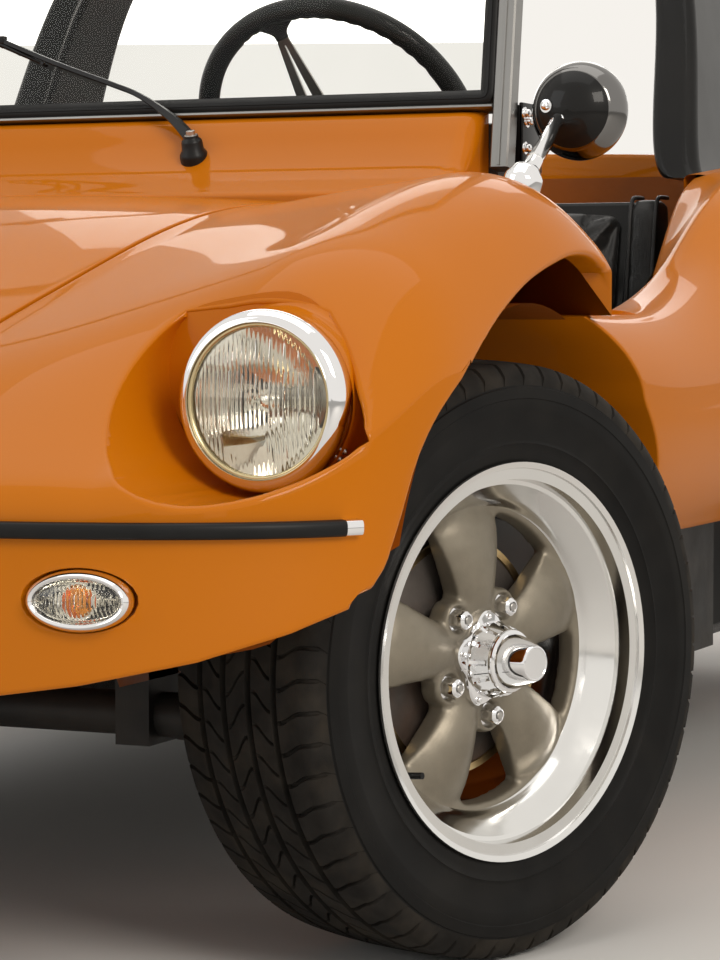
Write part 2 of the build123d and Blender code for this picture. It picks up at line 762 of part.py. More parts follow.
def make_knuckle(side):
    """The upright on its kingpin, with the stub axle and the steering arm."""
    reach = front_half_track - kingpin_x
    middle = (beam_lower_z + beam_upper_z) / 2 - front_tyre_radius
    pin_height = beam_upper_z - beam_lower_z + eye_height
    body_height = beam_upper_z - beam_lower_z - eye_height - 0.6
    pin = Pos(-reach, 0, middle) * Cylinder(kingpin_radius, pin_height)
    body = Pos(-reach, 0, middle) * Cylinder(24, body_height)
    stub = Pos(-reach + 48, 0, 0) * Rot(0, 90, 0) * Cylinder(stub_radius, 96)
    arm = Pos(-reach - 10, 60, middle) * Box(18, 120, 18)
    return wheel_place(True, side) * sided(pin + body + stub + arm, side)


def make_tyre(radius, width, rim_width):
    half, bead = width / 2, rim_width / 2 - 7
    seat_r = rim_barrel_radius + 2
    outline = Polyline(
        (-bead, 0, seat_r), (-bead - 1, 0, rim_flange_radius + 4), (-half, 0, (radius + rim_flange_radius) / 2),
        (-half + 12, 0, radius - 22), (-half + 30, 0, radius - 3), (0, 0, radius), (half - 30, 0, radius - 3),
        (half - 12, 0, radius - 22), (half, 0, (radius + rim_flange_radius) / 2),
        (bead + 1, 0, rim_flange_radius + 4), (bead, 0, seat_r), close=True)
    return revolve(make_face(outline), axis=Axis.X)


def window_prism(face_x):
    """One opening between two spokes: a rounded triangle that points at the hub."""
    half_angle = math.radians(window_half_deg)
    points = []
    for angle, radius in ((0, window_inner_radius), (half_angle * 0.86, 0.74 * window_outer_radius),
                          (half_angle, window_outer_radius), (-half_angle, window_outer_radius),
                          (-half_angle * 0.86, 0.74 * window_outer_radius)):
        points.append((face_x - 60, radius * math.sin(angle), radius * math.cos(angle)))
    prism = extrude(make_face(Polyline(*points, close=True)), amount=120, dir=(1, 0, 0))
    return fillet(prism.edges().filter_by(Axis.X), 9)


def make_rim(rim_width):
    """A dished alloy wheel: barrel with both flanges, and a disc with five windows."""
    half = rim_width / 2
    face_x = half - spoke_plane_inset
    outward = (Align.CENTER, Align.CENTER, Align.MIN)
    barrel = spun([
        (-half, rim_flange_radius), (-half, rim_barrel_radius - 2), (-half + 30, rim_barrel_radius - rim_wall),
        (-half + 60, dish_radius), (face_x - 12, dish_radius - 1), (face_x, dish_radius),
        (half - 22, dish_radius + 24),
        (half - 20, dish_radius + 30), (half - 11, dish_radius + 34), (half - 9, rim_flange_radius - 12),
        (half - 3, rim_flange_radius - 7), (half, rim_flange_radius), (half - 5, rim_flange_radius),
        (half - 6.3, rim_barrel_radius), (half - 34, rim_barrel_radius), (face_x - 14, dish_radius + 8),
        (-half + 62, dish_radius + 8), (-half + 40, rim_barrel_radius), (-half + 6.3, rim_barrel_radius),
        (-half + 5, rim_flange_radius)])
    disc = spun([
        (face_x, 36), (face_x - 3, 64), (face_x + 6, 88), (face_x + 6, 112), (face_x - 1, 140),
        (face_x - 16, dish_radius + 1), (face_x - spoke_plane_thickness, dish_radius + 1),
        (face_x - spoke_plane_thickness, 36)])
    for k in range(lug_count):
        turn = Rot(spoke_turn_deg + 360 / lug_count * (k + 0.5), 0, 0)
        disc -= turn * window_prism(face_x)
        lug = turn * Pos(face_x, 0, lug_circle_radius) * Rot(0, 90, 0)
        disc -= lug * Cylinder(lug_radius + 0.5, 120)
        disc -= lug * Pos(0, 0, -11) * Cylinder(lug_pocket_radius, 40, align=outward)
    return barrel + disc


def make_hub(rim_width):
    """Brake drum, hub cap and wheel nuts, bored for the stub axle."""
    face_x = rim_width / 2 - spoke_plane_inset
    back = face_x - spoke_plane_thickness - 0.3
    outward = (Align.CENTER, Align.CENTER, Align.MIN)
    drum = Pos(back - drum_width / 2, 0, 0) * Rot(0, 90, 0) * Cylinder(drum_radius, drum_width)
    drum += Pos(back - 10, 0, 0) * Rot(0, 90, 0) * Cylinder(44, 20)
    barrel_length = spoke_plane_inset + spoke_plane_thickness + cap_reach
    nose_x = back + barrel_length - cap_nose_length
    hub = drum + Pos(back, 0, 0) * Rot(0, 90, 0) * Cylinder(cap_radius, nose_x - back, align=outward)
    hub += Pos(nose_x, 0, 0) * Rot(0, 90, 0) * Cone(cap_radius, cap_nose_radius, cap_nose_length, align=outward)
    for k in range(lug_count):
        angle = spoke_turn_deg + 360 / lug_count * (k + 0.5)
        nut = Rot(angle, 0, 0) * Pos(back - 4, 0, lug_circle_radius) * Rot(0, 90, 0)
        hub += nut * Cylinder(lug_radius, spoke_plane_thickness + 22, align=outward)
    bore = Pos(back - drum_width - 1, 0, 0) * Rot(0, 90, 0)
    return hub - bore * Cylinder(stub_radius + stub_clearance, hub_bore_depth, align=outward)


def make_rear_axle():
    z = torsion_tube_z
    tube = rod((-480, torsion_tube_station, z), (480, torsion_tube_station, z), torsion_tube_radius)
    horn = rod((130, torsion_tube_station, z - 10), (190, wheelbase - 30, z - 10), 26)
    return tube + both_sides(horn)


def make_rear_arms():
    z, hub_z = torsion_tube_z, rear_tyre_radius
    arm = rod((520, torsion_tube_station, z), (578, wheelbase, hub_z), 20, 26)
    arm += rod((480.3, torsion_tube_station, z), (560, torsion_tube_station, z), 34)
    arm += rod((550, wheelbase, hub_z), (rear_half_track + 48, wheelbase, hub_z), stub_radius)
    arm += rod((drive_shaft_end + 0.3, wheelbase, hub_z), (590, wheelbase, hub_z), 46)
    return arm


def make_transaxle():
    front = torsion_tube_station + torsion_tube_radius + 0.3
    case = rod((0, front, transaxle_z), (0, engine_front_station - 0.3, transaxle_z), 80, 120)
    shafts = rod((90, wheelbase, rear_tyre_radius), (drive_shaft_end, wheelbase, rear_tyre_radius), 16)
    return case + both_sides(shafts)


def finned_barrel(x_low, x_high, station, z):
    """One air-cooled cylinder with its cooling fins, lying across the car."""
    barrel = rod((x_low, station, z), (x_high, station, z), cylinder_radius)
    pitch = (x_high - x_low) / fin_count
    for k in range(fin_count):
        x = x_low + pitch * (k + 0.5)
        barrel += rod((x - fin_thickness / 2, station, z), (x + fin_thickness / 2, station, z), fin_radius)
    return barrel


def make_engine():
    """A flat four: crankcase, finned cylinders, heads, fan housing, pulley and generator."""
    crank_station = (engine_front_station + engine_rear_station) / 2
    case = block(-crank_half_width, crank_half_width, engine_front_station, engine_rear_station,
                 crank_z - 90, crank_z + 70)
    case = fillet(case.edges().filter_by(Axis.Y), 24)
    case += rod((0, engine_front_station, crank_z), (0, engine_front_station + 40, crank_z), 130)
    for station in (crank_station - cylinder_pitch / 2, crank_station + cylinder_pitch / 2):
        case += both_sides(finned_barrel(crank_half_width - 4, head_inner_x + 4, station, crank_z))
    head = block(head_inner_x, head_outer_x, engine_front_station + 20, engine_rear_station - 10,
                 crank_z - 55, crank_z + 55)
    case += both_sides(fillet(head.edges().filter_by(Axis.Y), 16))
    housing = Plane(origin=(0, sta(fan_station), fan_z), x_dir=(1, 0, 0), z_dir=(0, 1, 0))
    shroud = Circle(fan_radius) + Pos(0, fan_radius * 0.75) * Rectangle(2.6 * fan_radius, fan_radius)
    ring = housing * extrude(shroud, amount=fan_depth)
    ring -= housing * Pos(0, 0, -1) * Cylinder(fan_mouth_radius, fan_depth * 0.7 + 1,
                                               align=(Align.CENTER, Align.CENTER, Align.MIN))
    case += ring
    case += rod((0, fan_station + fan_depth * 0.5, fan_z), (0, engine_rear_station + 60, fan_z),
                generator_radius)
    case += rod((0, engine_rear_station - 20, crank_z + 10), (0, engine_rear_station + 44, crank_z + 10), 62)
    case += rod((0, engine_rear_station + 40, fan_z), (0, engine_rear_station + 60, fan_z), 52)
    case += block(-50, 50, crank_station - 40, crank_station + 60, crank_z + 60, fan_z - 20)
    return case


def make_exhaust():
    """Tail silencer with two tips, and a pipe to each cylinder head."""
    silencer = rod((-silencer_half, silencer_station, silencer_z),
                   (silencer_half, silencer_station, silencer_z), silencer_radius)
    tip_start, tip_end = silencer_station + 10, tail_station - 10
    tips = rod((tip_x, tip_start, silencer_z - tip_drop), (tip_x, tip_end, silencer_z - tip_drop), tip_radius)
    tips -= rod((tip_x, tip_end - tip_bore_depth, silencer_z - tip_drop),
                (tip_x, tip_end + 10, silencer_z - tip_drop), tip_radius - tip_wall)
    elbow_station, pipe_z = engine_rear_station + 60, crank_z - 10
    pipes = rod((pipe_x, engine_rear_station - 9.7, pipe_z), (pipe_x, elbow_station, pipe_z), pipe_radius)
    pipes += Pos(pipe_x, sta(elbow_station), pipe_z) * Sphere(pipe_radius + 4)
    pipes += rod((pipe_x, elbow_station, pipe_z), (pipe_end_x, silencer_station, silencer_z), pipe_radius)
    return silencer + both_sides(tips + pipes)


def make_headlamp_ring():
    ring = rod((headlamp_x, headlamp_station - headlamp_ring_depth / 2, headlamp_z),
               (headlamp_x, pocket_floor_station - 0.3, headlamp_z), headlamp_ring_radius)
    ring -= rod((headlamp_x, headlamp_station - 60, headlamp_z),
                (headlamp_x, pocket_floor_station - 10, headlamp_z), headlamp_lens_radius)
    return both_sides(ring)


def make_headlamp_lens():
    lens = rod((headlamp_x, headlamp_station - 20, headlamp_z),
               (headlamp_x, pocket_floor_station - 10.3, headlamp_z), headlamp_lens_radius - 0.3)
    return both_sides(lens)


def make_nose_strip():
    low, high = strip_z - strip_height / 2, strip_z + strip_height / 2
    band = nose_space(-strip_proud, low, high) - nose_space(-0.3, low, high)
    return both_sides(band & block(-1, strip_end_x, nose_station - 60, 0, low - 1, high + 1))


def lamp_oval(grow, low_station, high_station):
    plane = Plane(origin=(small_lamp_x, sta(low_station), small_lamp_z), x_dir=(1, 0, 0), z_dir=(0, 1, 0))
    face = plane * Ellipse(small_lamp_half_width + grow, small_lamp_half_height + grow)
    return extrude(face, amount=high_station - low_station, dir=(0, 1, 0))


def make_front_lamps():
    return both_sides(lamp_oval(0, small_lamp_front_station, small_lamp_back_station))


def make_tail_lamps():
    return both_sides(block(tail_lamp_x - tail_lamp_half_width, tail_lamp_x + tail_lamp_half_width,
                            tail_station + 0.3, tail_station + strip_proud,
                            tail_lamp_z - tail_lamp_half_height, tail_lamp_z + tail_lamp_half_height))


nodes["body_front"] = make_body_front()
nodes["scuttle"] = make_scuttle()
nodes["hood"] = make_hood()
body_side = make_body_side()
nodes["body_side_left"] = body_side
nodes["body_side_right"] = mirrored(body_side)
nodes["body_rear"] = make_body_rear()
nodes["engine_lid"] = make_engine_lid()
nodes["floorpan"] = make_floorpan()
nodes["dashboard"] = make_dashboard()
nodes["roll_hoop"] = make_roll_hoop()
nodes["windscreen_frame"] = make_screen_frame()
nodes["windscreen_glass"] = make_screen_glass()
nodes["windscreen_brackets"] = make_screen_brackets()
nodes["mirrors"] = make_mirrors() - nodes["body_front"]
nodes["wipers"] = make_wipers() - nodes["scuttle"]
nodes["steering_wheel"] = make_steering_wheel()
nodes["steering_column"] = make_steering_column()
seat = make_seat()
nodes["seat_left"] = seat
nodes["seat_right"] = mirrored(seat)
nodes["front_beam"] = make_front_beam()
nodes["front_arms"] = both_sides(make_front_arms())
nodes["rear_axle"] = make_rear_axle()
nodes["rear_arms"] = both_sides(make_rear_arms())
nodes["transaxle"] = make_transaxle()
nodes["engine"] = make_engine()
nodes["exhaust"] = make_exhaust()
nodes["headlamp_rings"] = make_headlamp_ring()
nodes["headlamp_lenses"] = make_headlamp_lens()
nodes["nose_strip"] = make_nose_strip()
nodes["front_lamps"] = make_front_lamps()
nodes["tail_lamps"] = make_tail_lamps()
for side, name in ((1, "left"), (-1, "right")):
    nodes["knuckle_" + name] = make_knuckle(side)
for front in (True, False):
    radius = front_tyre_radius if front else rear_tyre_radius
    width = front_tyre_width if front else rear_tyre_width
    rim_width = front_rim_width if front else rear_rim_width
    tyre, rim, hub = make_tyre(radius, width, rim_width), make_rim(rim_width), make_hub(rim_width)
    for side, name in ((1, "left"), (-1, "right")):
        tag = ("front_" if front else "rear_") + name
        nodes["tyre_" + tag] = wheel_place(front, side) * sided(tyre, side)
        nodes["rim_" + tag] = wheel_place(front, side) * sided(rim, side)
        nodes["hub_" + tag] = wheel_place(front, side) * sided(hub, side)

os.makedirs("parts", exist_ok=True)
for name, shape in nodes.items():
    export_step(shape, "parts/" + name + ".step")
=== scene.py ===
import bpy
import bmesh
import math
from mathutils import Matrix, Vector


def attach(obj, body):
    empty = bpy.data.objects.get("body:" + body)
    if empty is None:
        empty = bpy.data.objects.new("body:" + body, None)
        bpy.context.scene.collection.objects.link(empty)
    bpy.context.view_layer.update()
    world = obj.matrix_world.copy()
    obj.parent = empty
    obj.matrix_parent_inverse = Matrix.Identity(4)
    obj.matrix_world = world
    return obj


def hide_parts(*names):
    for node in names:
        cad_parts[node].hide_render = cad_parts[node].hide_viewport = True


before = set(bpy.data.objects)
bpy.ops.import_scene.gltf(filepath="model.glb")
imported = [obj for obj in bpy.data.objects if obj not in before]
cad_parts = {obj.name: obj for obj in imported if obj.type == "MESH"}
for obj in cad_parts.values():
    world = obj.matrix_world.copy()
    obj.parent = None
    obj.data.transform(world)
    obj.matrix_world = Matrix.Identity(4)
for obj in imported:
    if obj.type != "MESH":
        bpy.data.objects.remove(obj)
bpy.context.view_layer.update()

# Layout repeated from the CAD source, in metres. A station is a distance behind the front axle.
FRONT_AXLE_Y = -1.070
WHEELBASE = 2.150
FRONT_R, REAR_R = 0.3135, 0.3315
PARKED_STEER = math.radians(20.0)


def at(x, station, z):
    """A point from millimetres across, behind the front axle and above the ground."""
    return Vector((x / 1000.0, FRONT_AXLE_Y + station / 1000.0, z / 1000.0))


def smoothstep(a, b, x):
    t = min(1.0, max(0.0, (x - a) / (b - a)))
    return t * t * (3 - 2 * t)


def mix(a, b, t):
    return a + (b - a) * t


def new_object(name, verts, faces, material, smooth=True, sharp_deg=None):
    mesh = bpy.data.meshes.new(name)
    mesh.from_pydata([tuple(v) for v in verts], [], faces)
    mesh.update()
    obj = bpy.data.objects.new(name, mesh)
    bpy.context.scene.collection.objects.link(obj)
    finish_mesh(obj, smooth, sharp_deg)
    if material:
        mesh.materials.append(material)
    return obj


def finish_mesh(obj, smooth=True, sharp_deg=None, merge=1e-5):
    """Merges doubles, turns normals outward and marks sharp edges by angle."""
    bm = bmesh.new()
    bm.from_mesh(obj.data)
    if merge:
        bmesh.ops.remove_doubles(bm, verts=bm.verts, dist=merge)
    bmesh.ops.recalc_face_normals(bm, faces=bm.faces)
    for face in bm.faces:
        face.smooth = smooth
    if sharp_deg is not None:
        limit = math.radians(sharp_deg)
        for edge in bm.edges:
            if len(edge.link_faces) == 2 and edge.calc_face_angle(0) > limit:
                edge.smooth = False
    bm.to_mesh(obj.data)
    bm.free()
    obj.data.update()


def from_bm(name, bm, material, smooth=True, sharp_deg=None):
    mesh = bpy.data.meshes.new(name)
    bm.to_mesh(mesh)
    bm.free()
    obj = bpy.data.objects.new(name, mesh)
    bpy.context.scene.collection.objects.link(obj)
    finish_mesh(obj, smooth, sharp_deg)
    if material:
        mesh.materials.append(material)
    return obj


def apply_modifiers(obj):
    """Replaces the object's mesh by its evaluated one."""
    graph = bpy.context.evaluated_depsgraph_get()
    mesh = bpy.data.meshes.new_from_object(obj.evaluated_get(graph))
    obj.modifiers.clear()
    obj.data = mesh


def joined(name, objects):
    """One object out of several, keeping each one's materials."""
    bpy.ops.object.select_all(action="DESELECT")
    for obj in objects:
        obj.select_set(True)
    bpy.context.view_layer.objects.active = objects[0]
    bpy.ops.object.join()
    objects[0].name = name
    return objects[0]


def transform(obj, matrix):
    """Moves the mesh itself, so that the object stays at the origin."""
    obj.data.transform(matrix)
    if matrix.determinant() < 0:
        obj.data.flip_normals()
    obj.data.update()
    return obj


def mirror_x():
    return Matrix.Scale(-1, 4, (1, 0, 0))


def copy_of(obj, name, matrix=None):
    twin = bpy.data.objects.new(name, obj.data.copy())
    bpy.context.scene.collection.objects.link(twin)
    if matrix is not None:
        transform(twin, matrix)
    return twin


def mount(obj, body, replaced=()):
    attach(obj, body)
    if replaced:
        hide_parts(*replaced)
    return obj


def turned_faces(segments, count, closed):
    """Quads between turned copies of a profile of count points."""
    faces = []
    for k in range(segments):
        n = (k + 1) % segments
        for j in range(count if closed else count - 1):
            i = (j + 1) % count
            faces.append((k * count + j, n * count + j, n * count + i, k * count + i))
    return faces


def lathe(name, profile, segments, material, sharp_deg=None, radius_at=None, closed=True):
    """Turns (x, r) points in metres round the X axis. radius_at(x, r, angle) may change them."""
    verts = []
    for k in range(segments):
        a = 2 * math.pi * k / segments
        for x, r in profile:
            if radius_at:
                x, r = radius_at(x, r, a)
            verts.append((x, -r * math.sin(a), r * math.cos(a)))
    return new_object(name, verts, turned_faces(segments, len(profile), closed), material, True,
                      sharp_deg)


def lathe_mm(name, profile, segments, material, sharp_deg, closed=True):
    return lathe(name, [(x * 0.001, r * 0.001) for x, r in profile], segments, material, sharp_deg,
                 closed=closed)


def tube(name, path, radius, material, sides=16, radius_end=None):
    """A round bar swept along points without twist."""
    verts, faces = [], []
    count = len(path)
    normal = None
    for i, point in enumerate(path):
        before = path[max(i - 1, 0)]
        after = path[min(i + 1, count - 1)]
        tangent = (after - before).normalized()
        if normal is None:
            helper = Vector((0, 0, 1)) if abs(tangent.z) < 0.9 else Vector((1, 0, 0))
            normal = tangent.cross(helper).normalized()
        normal = (normal - tangent * normal.dot(tangent)).normalized()
        binormal = tangent.cross(normal)
        r = radius if radius_end is None else mix(radius, radius_end, i / (count - 1))
        for k in range(sides):
            a = 2 * math.pi * k / sides
            verts.append(point + normal * (r * math.cos(a)) + binormal * (r * math.sin(a)))
    for i in range(count - 1):
        for k in range(sides):
            n = (k + 1) % sides
            faces.append((i * sides + k, i * sides + n, (i + 1) * sides + n, (i + 1) * sides + k))
    faces.append(tuple(range(sides)))
    faces.append(tuple(range((count - 1) * sides, count * sides)))
    return new_object(name, verts, faces, material, True, 40)


def smooth_path(points, steps=8):
    """A Catmull-Rom line through the points."""
    out = []
    count = len(points)
    for i in range(count - 1):
        p0 = points[max(i - 1, 0)]
        p1, p2 = points[i], points[i + 1]
        p3 = points[min(i + 2, count - 1)]
        for k in range(steps):
            t = k / steps
            out.append(0.5 * ((2 * p1) + (p2 - p0) * t + (2 * p0 - 5 * p1 + 4 * p2 - p3) * t * t
                              + (3 * p1 - p0 - 3 * p2 + p3) * t ** 3))
    out.append(points[-1])
    return out


def box_object(name, low, high, material, round_by=0.003, segments=3):
    """A block between two corners with rounded edges."""
    bm = bmesh.new()
    bmesh.ops.create_cube(bm, size=1.0)
    size = high - low
    centre = (high + low) / 2
    for v in bm.verts:
        v.co = Vector((v.co.x * size.x, v.co.y * size.y, v.co.z * size.z)) + centre
    bmesh.ops.bevel(bm, geom=bm.edges[:], offset=round_by, segments=segments, profile=0.5,
                    affect="EDGES")
    return from_bm(name, bm, material, True, 50)


def bolt(name, at_point, direction, radius, height, material, domed=True):
    """A round flat-topped or domed nut head standing on a washer."""
    profile = [(0, radius * 1.55), (height * 0.18, radius * 1.5), (height * 0.2, radius * 1.02)]
    if domed:
        for k in range(7):
            a = math.pi / 2 * k / 6
            profile.append((height * 0.55 + radius * 0.9 * math.sin(a),
                            max(radius * math.cos(a), 0.00005)))
    else:
        profile += [(height, radius), (height * 1.05, radius * 0.85), (height * 1.05, 0.00005)]
    obj = lathe(name, profile, 24, material, 40, closed=False)
    turn = Vector((1, 0, 0)).rotation_difference(direction).to_matrix().to_4x4()
    return transform(obj, Matrix.Translation(at_point) @ turn)


# Materials
def node_material(name, color, rough, metallic=0.0, vary=0.08, vary_scale=6.0, rough_vary=0.05,
                  rough_scale=25.0, bump=0.0, bump_scale=400.0, bump_distance=0.001, coat=0.0,
                  coat_rough=0.03, dirt=None, dirt_amount=0.0, dirt_scale=9.0, sheen=0.0, detail=6.0,
                  stretch=None, spec=None):
    """A surface whose colour, gloss and fine relief all come from noise at their own scales."""
    material = bpy.data.materials.new(name)
    material.use_nodes = True
    tree = material.node_tree
    nodes, links = tree.nodes, tree.links
    shader = nodes["Principled BSDF"]
    shader.inputs["Metallic"].default_value = metallic
    shader.inputs["Coat Weight"].default_value = coat
    shader.inputs["Coat Roughness"].default_value = coat_rough
    if sheen:
        shader.inputs["Sheen Weight"].default_value = sheen
    if spec is not None:
        shader.inputs["Specular IOR Level"].default_value = spec
    coords = nodes.new("ShaderNodeTexCoord")
    source = coords.outputs["Object"]
    if stretch:
        mapping = nodes.new("ShaderNodeMapping")
        mapping.inputs["Scale"].default_value = stretch
        links.new(source, mapping.inputs["Vector"])
        source = mapping.outputs["Vector"]

    def noise_node(scale, octaves):
        node = nodes.new("ShaderNodeTexNoise")
        node.inputs["Scale"].default_value = scale
        node.inputs["Detail"].default_value = octaves
        links.new(source, node.inputs["Vector"])
        return node.outputs["Fac"]

    ramp = nodes.new("ShaderNodeValToRGB")
    low = [max(0.0, c * (1 - vary)) for c in color]
    high = [min(1.0, c * (1 + vary)) for c in color]
    ramp.color_ramp.elements[0].position = 0.3
    ramp.color_ramp.elements[0].color = (*low, 1)
    ramp.color_ramp.elements[1].position = 0.7
    ramp.color_ramp.elements[1].color = (*high, 1)
    links.new(noise_node(vary_scale, 3.0), ramp.inputs["Fac"])
    base = ramp.outputs["Color"]
    if dirt:
        blend = nodes.new("ShaderNodeMix")
        blend.data_type = "RGBA"
        mask = nodes.new("ShaderNodeMapRange")
        mask.inputs["From Min"].default_value = 0.45
        mask.inputs["From Max"].default_value = 0.75
        mask.inputs["To Max"].default_value = dirt_amount
        links.new(noise_node(dirt_scale, 8.0), mask.inputs["Value"])
        links.new(mask.outputs["Result"], blend.inputs["Factor"])
        links.new(base, blend.inputs["A"])
        blend.inputs["B"].default_value = (*dirt, 1)
        base = blend.outputs["Result"]
    links.new(base, shader.inputs["Base Color"])
    gloss = nodes.new("ShaderNodeMapRange")
    gloss.inputs["To Min"].default_value = max(0.0, rough - rough_vary)
    gloss.inputs["To Max"].default_value = min(1.0, rough + rough_vary)
    links.new(noise_node(rough_scale, 4.0), gloss.inputs["Value"])
    links.new(gloss.outputs["Result"], shader.inputs["Roughness"])
    if bump:
        relief = nodes.new("ShaderNodeBump")
        relief.inputs["Strength"].default_value = bump
        relief.inputs["Distance"].default_value = bump_distance
        links.new(noise_node(bump_scale, detail), relief.inputs["Height"])
        links.new(relief.outputs["Normal"], shader.inputs["Normal"])
    return material


ORANGE = (0.60, 0.170, 0.002)
paint = node_material("orange_gel_coat", ORANGE, 0.42, vary=0.03, vary_scale=2.5, rough_vary=0.05,
                      rough_scale=5.0, bump=0.03, bump_scale=170.0, bump_distance=0.0003, coat=0.36,
                      coat_rough=0.03, detail=2.0, spec=0.03)
paint_inner = node_material("orange_matt_inner", (0.36, 0.085, 0.003), 0.5, vary=0.15, vary_scale=7.0,
                            bump=0.25, bump_scale=90.0, bump_distance=0.0015, coat=0.2, coat_rough=0.2,
                            dirt=(0.05, 0.03, 0.02), dirt_amount=0.5, dirt_scale=7.0, spec=0.2)
tread_rubber = node_material("tread_rubber", (0.020, 0.018, 0.016), 0.75, vary=0.3, vary_scale=40.0,
                             rough_vary=0.1, bump=0.35, bump_scale=900.0, bump_distance=0.0006,
                             dirt=(0.07, 0.056, 0.040), dirt_amount=0.4, dirt_scale=22.0, spec=0.1)
side_rubber = node_material("sidewall_rubber", (0.010, 0.0096, 0.0092), 0.52, vary=0.2, vary_scale=18.0,
                            rough_vary=0.08, bump=0.14, bump_scale=700.0, bump_distance=0.0004,
                            dirt=(0.03, 0.026, 0.021), dirt_amount=0.2, dirt_scale=14.0, spec=0.1)
trim_rubber = node_material("trim_rubber", (0.009, 0.009, 0.009), 0.42, vary=0.2, vary_scale=30.0,
                            bump=0.1, bump_scale=600.0, bump_distance=0.0004, spec=0.2)
polished = node_material("polished_aluminium", (0.78, 0.775, 0.76), 0.13, 1.0, vary=0.03,
                         vary_scale=8.0, rough_vary=0.06, rough_scale=70.0, bump=0.04, bump_scale=350.0,
                         bump_distance=0.0002)
cast_grey = node_material("painted_cast_spokes", (0.245, 0.215, 0.165), 0.40, 0.55, vary=0.08,
                          vary_scale=25.0, rough_vary=0.08, rough_scale=60.0, bump=0.22,
                          bump_scale=520.0, bump_distance=0.0006, dirt=(0.10, 0.08, 0.055),
                          dirt_amount=0.25, dirt_scale=30.0)
chrome = node_material("polished_chrome", (0.86, 0.86, 0.87), 0.045, 1.0, vary=0.02, vary_scale=20.0,
                       rough_vary=0.03, rough_scale=45.0, bump=0.01, bump_scale=300.0,
                       bump_distance=0.0001)
steel = node_material("machined_steel", (0.50, 0.49, 0.47), 0.33, 1.0, vary=0.1, vary_scale=30.0,
                      rough_vary=0.1, rough_scale=90.0, bump=0.15, bump_scale=500.0,
                      bump_distance=0.0003, dirt=(0.16, 0.10, 0.06), dirt_amount=0.4, dirt_scale=20.0)
black_gloss = node_material("black_moulding", (0.008, 0.0078, 0.0075), 0.34, vary=0.2, vary_scale=5.0,
                            rough_vary=0.08, rough_scale=9.0, bump=0.04, bump_scale=120.0,
                            bump_distance=0.0006, coat=0.25, coat_rough=0.06, dirt=(0.03, 0.025, 0.02),
                            dirt_amount=0.1, dirt_scale=8.0, spec=0.1)
chassis_black = node_material("chassis_black_paint", (0.016, 0.015, 0.014), 0.48, vary=0.25,
                              vary_scale=14.0, rough_vary=0.12, bump=0.25, bump_scale=260.0,
                              bump_distance=0.0006, dirt=(0.06, 0.048, 0.036), dirt_amount=0.4,
                              dirt_scale=11.0, spec=0.25)
black_plastic = node_material("black_plastic", (0.009, 0.009, 0.009), 0.36, vary=0.2, vary_scale=20.0,
                              bump=0.12, bump_scale=700.0, bump_distance=0.0003, spec=0.25)
crackle_black = node_material("crackle_black", (0.02, 0.0195, 0.019), 0.55, vary=0.2, vary_scale=40.0,
                              bump=0.7, bump_scale=380.0, bump_distance=0.0012)
anodised = node_material("anodised_frame", (0.25, 0.245, 0.235), 0.36, 1.0, vary=0.05, vary_scale=12.0,
                         rough_vary=0.07, rough_scale=60.0, bump=0.08, bump_scale=420.0,
                         bump_distance=0.0002)
brushed = node_material("brushed_metal", (0.40, 0.385, 0.36), 0.30, 1.0, vary=0.05, vary_scale=30.0,
                        rough_vary=0.08, rough_scale=120.0, bump=0.25, bump_scale=60.0,
                        bump_distance=0.0002, stretch=(1.0, 30.0, 30.0))
cast_alloy = node_material("cast_alloy_case", (0.36, 0.355, 0.34), 0.52, 0.85, vary=0.15,
                           vary_scale=18.0, rough_vary=0.12, bump=0.5, bump_scale=240.0,
                           bump_distance=0.001, dirt=(0.07, 0.055, 0.04), dirt_amount=0.6,
                           dirt_scale=9.0)
rust_iron = node_material("iron_fins", (0.10, 0.085, 0.075), 0.65, 0.6, vary=0.25, vary_scale=30.0,
                          bump=0.4, bump_scale=300.0, bump_distance=0.0008, dirt=(0.16, 0.07, 0.03),
                          dirt_amount=0.4, dirt_scale=18.0)
exhaust_steel = node_material("exhaust_steel", (0.34, 0.31, 0.28), 0.36, 1.0, vary=0.15,
                              vary_scale=12.0, rough_vary=0.12, bump=0.2, bump_scale=150.0,
                              bump_distance=0.0005, dirt=(0.18, 0.09, 0.04), dirt_amount=0.35,
                              dirt_scale=10.0)
vinyl = node_material("seat_vinyl", (0.016, 0.0155, 0.015), 0.44, vary=0.2, vary_scale=10.0,
                      rough_vary=0.1, rough_scale=18.0, bump=0.55, bump_scale=520.0,
                      bump_distance=0.0007, sheen=0.05, spec=0.3)
carpet = node_material("black_carpet", (0.012, 0.0115, 0.011), 0.95, vary=0.5, vary_scale=300.0,
                       bump=0.9, bump_scale=900.0, bump_distance=0.002, sheen=0.3,
                       dirt=(0.06, 0.05, 0.04), dirt_amount=0.3, dirt_scale=15.0)
gold_plate = node_material("zinc_plated_disc", (0.62, 0.46, 0.24), 0.30, 1.0, vary=0.1, vary_scale=22.0,
                           rough_vary=0.1, bump=0.1, bump_scale=300.0, bump_distance=0.0002)


# Wheels. A wheel is made round the X axis, outside towards +X, and then put in its place.
HUB_INSET = 0.042
SPOKE_TURN = math.radians(7.5)
LUG_CIRCLE = 0.0603
RIM_SEAT = 0.2078
VALVE_ANGLE = 2.2


def spoke_angle(k):
    return -2 * math.pi * k / 5 + SPOKE_TURN


def round_the_axle(x, radius, angle):
    return Vector((x, -radius * math.sin(angle), radius * math.cos(angle)))


